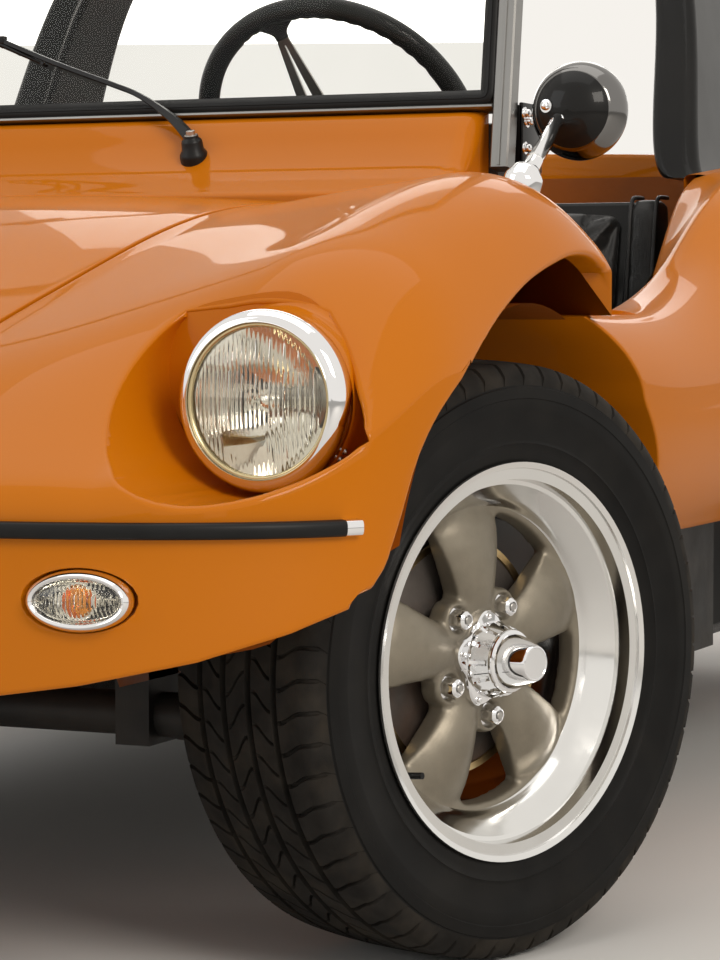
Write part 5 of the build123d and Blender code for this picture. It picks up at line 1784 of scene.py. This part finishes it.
def build_brackets():
    """Black side plates with chrome cap nuts."""
    parts = []
    for side in (1, -1):
        low, high = at(610.3 if side > 0 else -615.3, 398.3, 843), at(615.3 if side > 0 else -610.3,
                                                                      465, 925)
        parts.append(box_object("bracket_%d" % side, low, high, black_gloss, 0.0016))
        flange_low = at(594.3 if side > 0 else -615, 398.3, 846)
        flange_high = at(615 if side > 0 else -594.3, 402.0, 922)
        parts.append(box_object("bracket_flange_%d" % side, flange_low, flange_high, black_gloss,
                                0.001))
        for k, (s_, z) in enumerate(BRACKET_NUTS):
            spot = at(side * 615.3, s_, z)
            parts.append(bolt("bracket_nut_%d_%d" % (side, k), spot, Vector((side, 0, 0)), 0.0050,
                              0.0080, chrome))
    return joined("screen_brackets", parts)


mount(build_brackets(), "chassis", ("windscreen_brackets",))


def build_mirror():
    """The left mirror: dished black shell, bright rim, glass, two-piece arm and foot."""
    shell = lathe_mm("mirror_shell", [(-4, 0.03), (-3.5, 10), (-1.5, 20), (2.5, 30), (8, 38),
                                      (13, 43.5), (15, 45.5)], 96,
                  black_gloss, 60, closed=False)
    rim = lathe_mm("mirror_rim", [(14.5, 45.0), (15.2, 46.5), (18, 49.0), (24, 53.0), (31, 56.4),
                                  (38, 58.0), (44, 58.3), (48, 57.6), (49.5, 56.0), (49.0, 54.0),
                                  (46, 53.6)], 96, dark_chrome, 60, closed=False)
    glass = lathe_mm("mirror_glass", [(46.5, 54), (46.8, 0.03)], 96, chrome, 60, closed=False)
    screw = bolt("mirror_screw", Vector((-0.0005, 0.027, 0.004)), Vector((-1, 0.25, 0)), 0.0052, 0.004,
                 chrome)
    head = joined("mirror_head", [shell, rim, glass, screw])
    transform(head, Matrix.Translation(at(690, 350, 912)) @ Matrix.Rotation(math.radians(90), 4, "Z"))
    foot_at, knee, top = at(697, 188, 824), at(697, 222, 846), at(678, 345, 897)
    foot = lathe_mm("mirror_foot", [(-12, 22), (0, 22), (4, 21), (9, 17.5), (15, 13.5), (18, 10),
                                    (19, 0.03)], 64, chrome,
                 60, closed=False)
    tilt = Vector((1, 0, 0)).rotation_difference(Vector((0.24, 0.10,
                                                         0.96)).normalized()).to_matrix().to_4x4()
    transform(foot, Matrix.Translation(foot_at) @ tilt)
    lower = tube("mirror_arm_low", smooth_path([foot_at + Vector((0, 0, 0.004)), at(698, 205, 836),
                                                knee], 6), 0.0105,
                 chrome, 24, radius_end=0.0098)
    upper = tube("mirror_arm_high", smooth_path([knee, at(688, 284, 871), top, at(684, 354, 903)], 6),
                 0.0092, chrome, 24, radius_end=0.0076)
    collar = tube("mirror_collar", [knee - Vector((0.0016, 0.0016, 0.0012)),
                                    knee + Vector((0.0016, 0.002, 0.0016))], 0.0101,
                  steel, 24)
    return joined("side_mirror", [head, foot, lower, upper, collar])


dark_chrome = node_material("black_chrome", (0.20, 0.195, 0.19), 0.10, 1.0, vary=0.05, vary_scale=12.0,
                            rough_vary=0.04, rough_scale=30.0)
left_mirror = build_mirror()
mount(left_mirror, "chassis", ("mirrors",))
mount(copy_of(left_mirror, "side_mirror_right", mirror_x()), "chassis")


WIPER_ARM = [(206, 334, 886), (170, 350, 915), (116, 369, 945), (74, 373, 961), (-10, 379, 990),
             (-95, 386, 1023)]


def build_wiper(shift):
    """Spindle cap, flat arm and blade of one wiper; shift moves it across the car."""
    spin = at(210 + shift, 333, 866)
    cap = lathe_mm("wiper_cap", [(-12, 17), (0, 17.5), (4, 17), (9, 13.5), (18, 13), (21, 12),
                                 (23, 9.5), (24, 9.2), (26.5, 8.8), (27, 7.5), (27.2, 0.03)], 48,
                   black_plastic, 45, closed=False)
    up = Vector((0, -0.30, 0.95)).normalized()
    transform(cap, Matrix.Translation(spin) @ Vector((1, 0,
                                                      0)).rotation_difference(up).to_matrix().to_4x4())
    nut = bolt("wiper_nut", spin + up * 0.026, up, 0.0055, 0.006, steel, False)
    normal = Vector((0, -math.cos(SCREEN_TILT), math.sin(SCREEN_TILT)))
    path = smooth_path([at(x + shift, s, z) for x, s, z in WIPER_ARM], 4)
    verts, faces = [], []
    last = len(path) - 1
    for i, c in enumerate(path):
        along = (path[min(i + 1, last)] - path[max(i - 1, 0)]).normalized()
        across = along.cross(normal).normalized()
        wide = mix(16.0, 7.0, smoothstep(0.0, 0.45, i / last))
        deep = mix(9.0, 4.5, smoothstep(0.0, 0.5, i / last))
        for a, b in ((-1, -0.5), (-0.7, 0.5), (0.7, 0.5), (1, -0.5)):
            verts.append(c + across * (a * wide / 2000) + normal * (b * deep / 1000))
    for i in range(last):
        for j in range(4):
            k = (j + 1) % 4
            faces.append((i * 4 + j, (i + 1) * 4 + j, (i + 1) * 4 + k, i * 4 + k))
    faces += [(0, 1, 2, 3), tuple(range(len(verts) - 4, len(verts)))]
    arm = new_object("wiper_arm", verts, faces, black_plastic, True, 35)
    blade_low, blade_high = at(-30 + shift, 387, 990), at(-165 + shift, 396, 1044)
    ends = (blade_low, blade_high)
    spine = tube("wiper_spine", [ends[0].lerp(ends[1], k / 10)
                                 + normal * (0.001 + 0.006 * math.sin(math.pi * k / 10))
                                 for k in range(11)], 0.0026, black_plastic, 10)
    edge = tube("wiper_edge", [end - normal * 0.006 for end in ends], 0.0022, trim_rubber, 8)
    clips = [tube("wiper_clip_%d" % k, [ends[0].lerp(ends[1], t) + normal * 0.004,
                                        ends[0].lerp(ends[1], t) - normal * 0.006],
                  0.0028, black_plastic, 8) for k, t in enumerate((0.02, 0.3, 0.5, 0.7, 0.98))]
    tip = path[-1]
    hook = box_object("wiper_hook", tip - Vector((0.008, 0.004, 0.006)),
                      tip + Vector((0.008, 0.006, 0.005)), black_plastic, 0.002)
    return joined("wiper_%d" % (1 if shift else 0), [cap, nut, arm, spine, edge, hook] + clips)


first_wiper = build_wiper(0)
mount(first_wiper, "chassis", ("wipers",))
mount(build_wiper(-440), "chassis")


# Steering wheel, in its own plane: x across, y up the wheel, z towards the driver
def build_steering_wheel():
    tilt = math.radians(33.0)
    across, toward = Vector((1, 0, 0)), Vector((0, math.cos(tilt), math.sin(tilt)))
    up = toward.cross(across)
    place = Matrix((across, up, toward)).transposed().to_4x4()
    place.translation = at(290, 590, 905)
    big, grip = 0.182, 0.0135
    verts, faces = [], []
    rounds, sides = 240, 20
    for k in range(rounds):
        a = 2 * math.pi * k / rounds
        share = (a / (2 * math.pi)) % 0.5
        ripple = 0.0007 * (0.5 + 0.5 * math.cos(54 * a)) if 0.15 < share < 0.42 else 0.0
        for j in range(sides):
            b = 2 * math.pi * j / sides
            inner = max(0.0, -math.cos(b))
            r = grip + 0.0004 - ripple * inner * 2.2
            verts.append(((big + r * math.cos(b)) * math.cos(a), (big + r * math.cos(b)) * math.sin(a),
                          r * 1.04 * math.sin(b)))
    for k in range(rounds):
        n = (k + 1) % rounds
        for j in range(sides):
            m = (j + 1) % sides
            faces.append((k * sides + j, n * sides + j, n * sides + m, k * sides + m))
    rim = new_object("wheel_grip", verts, faces, black_plastic, True)
    parts = [rim]
    for index, angle in enumerate((-107, 13, 133)):
        half_root, half_tip, slot, half_plate = 0.0240, 0.0072, 0.0036, 0.0014
        verts, faces = [], []
        for side in (1, -1):
            base = len(verts)
            for k in range(11):
                outer = (mix(0.026, 0.160, k / 10), side * mix(half_root, half_tip, k / 10))
                inner = (mix(0.040, 0.142, k / 10), side * mix(slot * 1.6, slot * 0.25, k / 10))
                verts += [(*edge, z) for edge in (outer, inner) for z in (half_plate, -half_plate)]
            for k in range(10):
                a, b = base + 4 * k, base + 4 * (k + 1)
                faces += [(a, b, b + 2, a + 2), (a + 1, a + 3, b + 3, b + 1), (a, a + 1, b + 1, b),
                          (a + 2, b + 2, b + 3, a + 3)]
            faces += [(base, base + 2, base + 3, base + 1),
                      (base + 40, base + 41, base + 43, base + 42)]
        spoke = new_object("spoke_plate_%d" % index, verts, faces, brushed, True, 30)
        bm = bmesh.new()
        for x0, x1, h0, h1 in ((0.020, 0.041, half_root + 0.0008, half_root - 0.0012),
                               (0.141, 0.170, half_tip + 0.0012, half_tip)):
            corners = ((x0, -h0), (x1, -h1), (x1, h1), (x0, h0))
            ring = [[bm.verts.new((x, y, z)) for x, y in corners] for z in (half_plate, -half_plate)]
            bm.faces.new(ring[0])
            bm.faces.new(ring[1][::-1])
            for j in range(4):
                m = (j + 1) % 4
                bm.faces.new((ring[0][j], ring[1][j], ring[1][m], ring[0][m]))
        ends = from_bm("spoke_ends_%d" % index, bm, brushed, True, 30)
        boss_verts, boss_faces = [], []
        for k in range(13):
            t = k / 12
            x = mix(0.150, 0.178, t)
            half = mix(half_tip + 0.002, 0.034, smoothstep(0.15, 1.0, t))
            for j in range(16):
                b = 2 * math.pi * j / 16
                boss_verts.append((x, half * math.cos(b), mix(0.0065, 0.0105, t) * math.sin(b)))
        for k in range(12):
            for j in range(16):
                m = (j + 1) % 16
                boss_faces.append((k * 16 + j, (k + 1) * 16 + j, (k + 1) * 16 + m, k * 16 + m))
        boss_faces.append(tuple(range(16)))
        boss = new_object("spoke_boss_%d" % index, boss_verts, boss_faces, black_plastic, True, 60)
        arm = joined("spoke_%d" % index, [spoke, ends, boss])
        lean = Matrix.Translation((0, 0, -0.026)) @ Matrix.Rotation(math.radians(-8.6), 4, "Y")
        transform(arm, Matrix.Rotation(math.radians(angle), 4, "Z") @ lean)
        parts.append(arm)
    hub_profile = [(-0.060, 0.0002), (-0.060, 0.026), (-0.036, 0.030), (-0.026, 0.0335),
                   (-0.020, 0.0335), (-0.012, 0.031), (-0.006, 0.028), (-0.003, 0.020),
                   (-0.002, 0.0002)]
    hub = lathe("wheel_hub", hub_profile, 64, black_plastic, 40, closed=False)
    cap = lathe("horn_button", [(-0.004, 0.0205), (-0.001, 0.0202), (0.001, 0.018), (0.002, 0.010),
                                (0.0022, 0.0002)], 64,
                brushed, 40, closed=False)
    for piece in (hub, cap):
        transform(piece, Matrix.Rotation(math.radians(-90), 4, "Y"))
    for k in range(6):
        a = math.radians(60 * k + 30)
        parts.append(bolt("hub_screw_%d" % k, Vector((0.0265 * math.cos(a), 0.0265 * math.sin(a),
                                                      -0.0055)), Vector((0, 0, 1)),
                          0.0024, 0.0022, steel))
    whole = joined("wheel_of_steering", parts + [hub, cap])
    return transform(whole, place)


mount(build_steering_wheel(), "steering", ("steering_wheel",))


# Seats: a black bucket with padded vinyl wings, squab and back, each blown up by a short cloth run
SEAT_X = 305.0
SEAT_SIDE = [(802, 222), (802, 424), (816, 434), (960, 424), (1108, 404), (1128, 412), (1150, 470),
             (1204, 828), (1216, 842), (1262, 842), (1274, 830), (1270, 780), (1232, 222)]

SEAT_PIPING = [(830, 432), (900, 428), (960, 424), (1040, 413), (1100, 405), (1126, 412), (1138, 436),
               (1150, 472), (1162, 550), (1180, 668), (1196, 774), (1203, 820), (1213, 839),
               (1232, 842), (1258, 842)]


def prism(name, outline, x0, x1, material, round_by, segments=3):
    """A (station, z) outline carried across the car, with rounded edges."""
    bm = bmesh.new()
    rings = [[bm.verts.new(at(x, s_, z)) for s_, z in outline] for x in (x0, x1)]
    bm.faces.new(rings[0])
    bm.faces.new(rings[1][::-1])
    count = len(outline)
    for k in range(count):
        n = (k + 1) % count
        bm.faces.new((rings[0][k], rings[1][k], rings[1][n], rings[0][n]))
    bmesh.ops.recalc_face_normals(bm, faces=bm.faces)
    bmesh.ops.bevel(bm, geom=bm.edges[:], offset=round_by, segments=segments, profile=0.5,
                    affect="EDGES", clamp_overlap=True)
    bmesh.ops.triangulate(bm, faces=[f for f in bm.faces if len(f.verts) > 4])
    return from_bm(name, bm, material, True, 40)


def blown_up(obj, cap, held=None, voxel=0.006, pressure=4.0, frames=20):
    """Swells a closed pad with Blender's cloth; points where held(co) is true stay put."""
    remesh = obj.modifiers.new("remesh", "REMESH")
    remesh.mode = "VOXEL"
    remesh.voxel_size = voxel
    remesh.use_smooth_shade = True
    apply_modifiers(obj)
    rest = [v.co.copy() for v in obj.data.vertices]
    if held:
        group = obj.vertex_groups.new(name="held")
        group.add([v.index for v in obj.data.vertices if held(v.co)], 1.0, "REPLACE")
    cloth = obj.modifiers.new("cloth", "CLOTH")
    cloth.settings.quality = 4
    cloth.settings.use_pressure = True
    cloth.settings.uniform_pressure_force = pressure
    cloth.settings.effector_weights.gravity = 0
    cloth.settings.tension_stiffness = 12
    cloth.settings.bending_stiffness = 1.5
    if held:
        cloth.settings.vertex_group_mass = "held"
    cloth.point_cache.frame_start = 1
    cloth.point_cache.frame_end = frames
    for number in range(1, frames + 1):
        bpy.context.scene.frame_set(number)
    apply_modifiers(obj)
    for v, start in zip(obj.data.vertices, rest):
        move = v.co - start
        if move.length > cap:
            v.co = start + move.normalized() * cap
    bpy.context.scene.frame_set(1)
    return obj


def tufted(obj, along, across, pitch, depth, low, high, facing_way):
    """Sewn channels: presses lines into the face that looks along facing_way."""
    mesh = obj.data
    normals = [v.normal.copy() for v in mesh.vertices]
    for v, n in zip(mesh.vertices, normals):
        if n.dot(facing_way) < 0.35:
            continue
        place = v.co.dot(across)
        if not low < v.co.dot(along) < high:
            continue
        share = abs(math.sin(math.pi * place / pitch))
        press = depth * math.exp(-(share / 0.22) ** 2)
        v.co -= n * press
    mesh.update()
    return obj


def pad_slab(name, start, end, half_width, thickness):
    """A slab whose lower face runs from start to end, each (station, z), with its corners drawn in."""
    a, b = at(0, *start), at(0, *end)
    way = (b - a).normalized()
    normal = Vector((1, 0, 0)).cross(way).normalized()
    verts, faces = [], []
    across, lengthwise = 12, 14
    for layer in (0, 1):
        for i in range(across + 1):
            for j in range(lengthwise + 1):
                u, v = i / across * 2 - 1, j / lengthwise * 2 - 1
                draw = 1 - 0.035 * (u * u * v * v) - 0.03 * layer
                p = a.lerp(b, 0.5 + 0.5 * v * draw)
                rise = thickness * layer * (1 - 0.22 * (u ** 4 + v ** 4) / 2)
                verts.append(p + Vector((u * half_width * draw, 0, 0)) + normal * rise)
    row = lengthwise + 1
    count = (across + 1) * row
    for layer in (0, 1):
        for i in range(across):
            for j in range(lengthwise):
                q = layer * count + i * row + j
                faces.append((q, q + row, q + row + 1, q + 1))
    for i in range(across):
        for j in (0, lengthwise):
            q = i * row + j
            faces.append((q, q + row, count + q + row, count + q))
    for j in range(lengthwise):
        for i in (0, across):
            q = i * row + j
            faces.append((q, q + 1, count + q + 1, count + q))
    return new_object(name, verts, faces, vinyl, True), way, normal


def build_seat():
    """One seat, centred on x = 0: shell, two wings, squab and back pads, and their piping."""
    base = [(804, 222), (804, 384), (1110, 356), (1232, 836), (1266, 836), (1270, 790), (1230, 222)]
    tub = prism("seat_tub", base, -166, 166, black_gloss, 0.006)
    wings = []
    for side in (1, -1):
        x0, x1 = sorted((side * 170, side * 210))
        wing = prism("wing_%d" % side, [(s_, z) for s_, z in SEAT_SIDE], x0, x1, vinyl, 0.012, 2)
        blown_up(wing, 0.006, held=lambda co: co.z < 0.24, voxel=0.008, pressure=2.0, frames=12)
        wings.append(wing)
    squab, way, normal = pad_slab("squab", (812, 392), (1096, 366), 0.158, 0.036)
    if normal.z < 0:
        normal = -normal
    blown_up(squab, 0.022, held=lambda co: (co - at(0, 812, 392)).dot(normal) < 0.004)
    tufted(squab, way, Vector((1, 0, 0)), 0.052, 0.007, -9, 9, normal)
    back, back_way, back_normal = pad_slab("back", (1118, 408), (1222, 822), 0.156, 0.034)
    if back_normal.y > 0:
        back_normal = -back_normal
    blown_up(back, 0.022, held=lambda co: (co - at(0, 1118, 408)).dot(back_normal) < 0.004)
    tufted(back, back_way, Vector((1, 0, 0)), 0.052, 0.007, -9, 9, back_normal)
    piping = []
    edge = smooth_path([at(0, s_, z) for s_, z in SEAT_PIPING], 3)
    for x in (-209, -171, 171, 209):
        line = [p + Vector((x / 1000.0, 0, 0)) for p in edge]
        piping.append(tube("piping_%d" % x, line, 0.0032, vinyl, 8))
    pads = joined("seat_pads", [squab, back])
    rest = joined("seat_frame", [tub] + wings + piping)
    return pads, rest


def fit_out_seats():
    pads, rest = build_seat()
    for side, name in ((1, "left"), (-1, "right")):
        shift = Matrix.Translation((side * SEAT_X / 1000.0, 0, 0))
        cover = copy_of(pads, "seat_cushions_" + name, shift)
        bucket = copy_of(rest, "seat_bucket_" + name, shift)
        mount(bucket, "chassis", ("seat_" + name,))
        mount(cover, "chassis")
    bpy.data.objects.remove(pads)
    bpy.data.objects.remove(rest)


fit_out_seats()


# Cockpit fittings: dials and switches on the dash, gear lever, hand brake and pedals
DASH_FACE = (474.0, 822.0)
DASH_LEAN = math.radians(3.8)


def on_dash(obj, x, z):
    """Stands a piece made round the X axis on the dash, looking back at the driver."""
    station = DASH_FACE[0] + (z - DASH_FACE[1]) * math.tan(DASH_LEAN)
    turn = Matrix.Rotation(math.radians(90), 4, "Z") @ Matrix.Rotation(-DASH_LEAN, 4, "Y")
    return transform(obj, Matrix.Translation(at(x, station, z)) @ turn)


def build_dial(name, x, z, radius, ticks, share):
    """A round instrument: bright rim, black face, marks without lettering, needle and glass."""
    r = radius / 1000.0
    rim = lathe("rim", [(-0.002, r), (0.006, r), (0.0085, r * 0.975), (0.0095, r * 0.94),
                        (0.008, r * 0.90), (0.004, r * 0.885)], 72, chrome, 50, closed=False)
    face = lathe("face", [(0.0025, r * 0.89), (0.0025, r * 0.45), (0.0025, 0.0001)], 64, black_plastic,
                 40, closed=False)
    parts = [rim, face]
    for k in range(ticks + 1):
        a = math.radians(-130 + 260 * k / ticks)
        long = 0.80 if k % 2 == 0 else 0.85
        way = Vector((0, math.sin(a), math.cos(a)))
        start, end = way * (r * long) + Vector((0.0031, 0, 0)), way * (r
                                                                       * 0.90) + Vector((0.0031, 0, 0))
        parts.append(tube("mark_%d" % k, [start, end], 0.0006, dial_white, 4))
    a = math.radians(-130 + 260 * share)
    way = Vector((0, math.sin(a), math.cos(a)))
    parts.append(tube("needle", [way * (-0.12 * r) + Vector((0.0048, 0, 0)),
                                 way * (0.76 * r) + Vector((0.0048, 0, 0))],
                      0.0011, dial_red, 6, radius_end=0.0004))
    parts.append(lathe("needle_cap", [(0.003, r * 0.11), (0.0062, r * 0.10), (0.0066, 0.0001)], 24,
                       black_plastic, 40, closed=False))
    parts.append(lathe("glass", [(0.0078, r * 0.90), (0.0080, r * 0.4), (0.0080, 0.0001)], 48,
                       clear_glass, 60, closed=False))
    return on_dash(joined(name, parts), x, z)


def build_switch(name, x, z):
    collar = lathe("collar", [(0, 0.0085), (0.004, 0.0080), (0.006, 0.0055), (0.006, 0.0001)], 24,
                   chrome, 40, closed=False)
    stick = tube("stick", [Vector((0.004, 0, 0)), Vector((0.016, 0, 0.003)), Vector((0.024, 0, 0.006))],
                 0.0021, chrome, 10, radius_end=0.0033)
    return on_dash(joined(name, [collar, stick]), x, z)


def build_dash_fittings():
    parts = [build_dial("speed_dial", 60, 824, 46, 14, 0.0),
             build_dial("rev_dial", -48, 824, 46, 12, 0.0),
             build_dial("oil_dial", -136, 826, 29, 8, 0.1),
             build_dial("fuel_dial", -206, 826, 29, 8, 0.55)]
    parts += [build_switch("switch_%d" % k, 138 + 26 * k, 790) for k in range(4)]
    parts += [build_switch("switch_%d" % (k + 4), -262 - 28 * k, 826) for k in range(2)]
    handle = smooth_path([at(-520, 478, 850), at(-518, 494, 852), at(-460, 502, 852),
                          at(-360, 502, 852), at(-302, 494, 852), at(-300, 478, 850)], 5)
    parts.append(tube("grab_handle", handle, 0.008, black_gloss, 14))
    return joined("dash_fittings", parts)


def build_levers():
    """Gear lever with its gaiter, and the hand brake, on the tunnel."""
    folds = [(0.000, 0.040), (0.004, 0.041), (0.010, 0.032), (0.016, 0.034), (0.022, 0.026),
             (0.028, 0.028), (0.034, 0.020), (0.040, 0.021), (0.048, 0.012), (0.052, 0.0085)]
    gaiter = lathe("gaiter", folds, 48, trim_rubber, 60, closed=False)
    stand = Vector((1, 0, 0)).rotation_difference(Vector((0, 0, 1))).to_matrix().to_4x4()
    transform(gaiter, Matrix.Translation(at(0, 640, 340)) @ stand)
    stick = tube("gear_stick", smooth_path([at(0, 640, 372), at(2, 652, 470), at(8, 690, 560),
                                            at(10, 704, 612)], 6), 0.0062,
                 chrome, 14)
    knob = lathe("gear_knob", [(-0.020, 0.010), (-0.014, 0.017), (-0.004, 0.0225), (0.008, 0.0215),
                               (0.016, 0.014), (0.019, 0.0001)], 40, black_plastic, 60, closed=False)
    transform(knob, Matrix.Translation(at(10, 708, 626)) @ stand)
    plate = box_object("brake_plate", at(-26, 812, 339.5), at(26, 900, 346), steel, 0.002)
    brake = tube("brake_lever", smooth_path([at(0, 880, 352), at(0, 850, 372), at(0, 760, 402),
                                             at(0, 690, 416)], 6), 0.0095,
                 black_plastic, 16)
    grip = tube("brake_grip", [at(0, 775, 398), at(0, 700, 414), at(0, 672, 419)], 0.0145, trim_rubber,
                20, radius_end=0.0130)
    button = tube("brake_button", [at(0, 674, 418.5), at(0, 662, 421)], 0.0048, chrome, 14)
    return joined("tunnel_levers", [gaiter, stick, knob, plate, brake, grip, button])


def build_pedals():
    """Three pedals on their arms in front of the left seat."""
    parts = []
    for x, wide, low in ((228, 54, 300), (302, 54, 300), (366, 42, 232)):
        arm = smooth_path([at(x, 424, 220), at(x, 452, 262), at(x, 470, low + 46)], 6)
        parts.append(tube("pedal_arm_%d" % x, arm, 0.0065, chassis_black, 12))
        tall = 62 if x < 366 else 130
        parts.append(box_object("pedal_pad_%d" % x, at(x - wide / 2, 466, low + 14),
                                at(x + wide / 2, 474, low + 14 + tall), trim_rubber, 0.0028))
        for k in range(5):
            z = low + 20 + k * (tall - 12) / 4
            parts.append(box_object("pedal_rib_%d_%d" % (x, k), at(x - wide / 2 + 4, 473.5, z - 2),
                                    at(x + wide / 2 - 4, 476, z + 2), trim_rubber, 0.0008, 1))
    parts.append(tube("pedal_shaft", [at(196, 424, 221.5), at(392, 424, 221.5)], 0.008, steel, 14))
    return joined("pedals", parts)


dial_white = node_material("dial_white", (0.75, 0.75, 0.72), 0.5, vary=0.03)
dial_red = node_material("dial_red", (0.75, 0.10, 0.02), 0.4, vary=0.03)
mount(build_dash_fittings(), "chassis")
mount(build_levers(), "chassis")
mount(build_pedals(), "chassis")


# Plain materials for the CAD nodes that stay in view
def dress(name, material):
    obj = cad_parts[name]
    obj.data.materials.clear()
    obj.data.materials.append(material)
    for polygon in obj.data.polygons:
        polygon.material_index = 0


NODE_FINISH = (
    (paint, ("body_front", "scuttle", "hood", "body_side_left", "body_side_right", "body_rear",
             "engine_lid")),
    (carpet, ("floorpan",)),
    (crackle_black, ("dashboard",)),
    (black_gloss, ("roll_hoop",)),
    (anodised, ("windscreen_frame",)),
    (clear_glass, ("windscreen_glass",)),
    (chassis_black, ("windscreen_brackets", "steering_column", "front_beam", "front_arms", "rear_axle",
                     "rear_arms", "knuckle_left", "knuckle_right")),
    (chrome, ("mirrors", "headlamp_rings", "front_lamps")),
    (black_plastic, ("wipers", "steering_wheel")),
    (vinyl, ("seat_left", "seat_right")),
    (cast_alloy, ("transaxle", "engine")),
    (exhaust_steel, ("exhaust",)),
    (lamp_glass, ("headlamp_lenses",)),
    (trim_rubber, ("nose_strip",)),
    (red_glass, ("tail_lamps",)),
)
for finish, node_names in NODE_FINISH:
    for node_name in node_names:
        dress(node_name, finish)


# Floor, light and camera
def stage_object(name, verts, faces, color):
    material = bpy.data.materials.new(name)
    material.use_nodes = True
    shader = material.node_tree.nodes["Principled BSDF"]
    shader.inputs["Base Color"].default_value = (*color, 1)
    shader.inputs["Roughness"].default_value = 0.9
    obj = new_object(name, verts, faces, material, False)


stage_object("floor", [(-40, -40, 0), (40, -40, 0), (40, 40, 0), (-40, 40, 0)], [(0, 1, 2, 3)],
             (0.80, 0.785, 0.76))


def aim(obj, direction):
    obj.rotation_euler = direction.to_track_quat("-Z", "Y").to_euler()


def area(name, place, target, size, power, color):
    data = bpy.data.lights.new(name, "AREA")
    data.energy = power
    data.color = color
    data.size = size
    obj = bpy.data.objects.new(name, data)
    bpy.context.scene.collection.objects.link(obj)
    obj.location = place
    aim(obj, Vector(target) - Vector(place))


area("key", (5.5, -4.5, 4.2), (0.3, -0.9, 0.5), 2.6, 200, (1.0, 0.94, 0.86))
area("fill", (-4.5, -5.5, 3.6), (0.2, -0.8, 0.5), 4.0, 70, (0.94, 0.97, 1.0))
area("top", (0.0, -0.5, 5.5), (0.0, -0.3, 0.0), 5.0, 70, (1.0, 0.98, 0.95))
area("back", (-2.0, 6.0, 3.5), (0.0, 0.5, 0.6), 4.0, 100, (1.0, 0.97, 0.92))

# The world is brighter where the camera sees it, directly or in a mirror, than as a light
WORLD_LIGHT, WORLD_SEEN = 0.42, 0.92
WORLD_COLOR = (1.0, 0.965, 0.91, 1)
world = bpy.data.worlds.new("studio")
bpy.context.scene.world = world
world.use_nodes = True
world_nodes, world_links = world.node_tree.nodes, world.node_tree.links
background = world_nodes["Background"]
path = world_nodes.new("ShaderNodeLightPath")


def either(a, b):
    node = world_nodes.new("ShaderNodeMath")
    node.operation = "MAXIMUM"
    world_links.new(a, node.inputs[0])
    world_links.new(b, node.inputs[1])
    return node.outputs[0]


straight = either(path.outputs["Is Camera Ray"], path.outputs["Is Transmission Ray"])
shown = either(straight, path.outputs["Is Glossy Ray"])
strength = world_nodes.new("ShaderNodeMapRange")
strength.inputs["To Min"].default_value = WORLD_LIGHT
strength.inputs["To Max"].default_value = WORLD_SEEN
world_links.new(shown, strength.inputs["Value"])
world_links.new(strength.outputs["Result"], background.inputs["Strength"])
background.inputs["Color"].default_value = WORLD_COLOR

# The camera fitted to the photograph
CAMERA_PLACE = (1.897, -4.026, 0.678)
CAMERA_LENS = 112.5
CAMERA_HEADING = math.radians(24.0)
CAMERA_PITCH = math.radians(3.24)
camera_data = bpy.data.cameras.new("photo_view")
camera = bpy.data.objects.new("photo_view", camera_data)
bpy.context.scene.collection.objects.link(camera)
camera_data.sensor_fit = "VERTICAL"
camera_data.sensor_height = 36.0
camera_data.lens = CAMERA_LENS
camera_data.clip_end = 200.0
camera.location = CAMERA_PLACE
aim(camera, Vector((-math.sin(CAMERA_HEADING) * math.cos(CAMERA_PITCH),
                    math.cos(CAMERA_HEADING) * math.cos(CAMERA_PITCH), -math.sin(CAMERA_PITCH))))
bpy.context.scene.camera = camera
bpy.context.scene.view_settings.view_transform = "Standard"
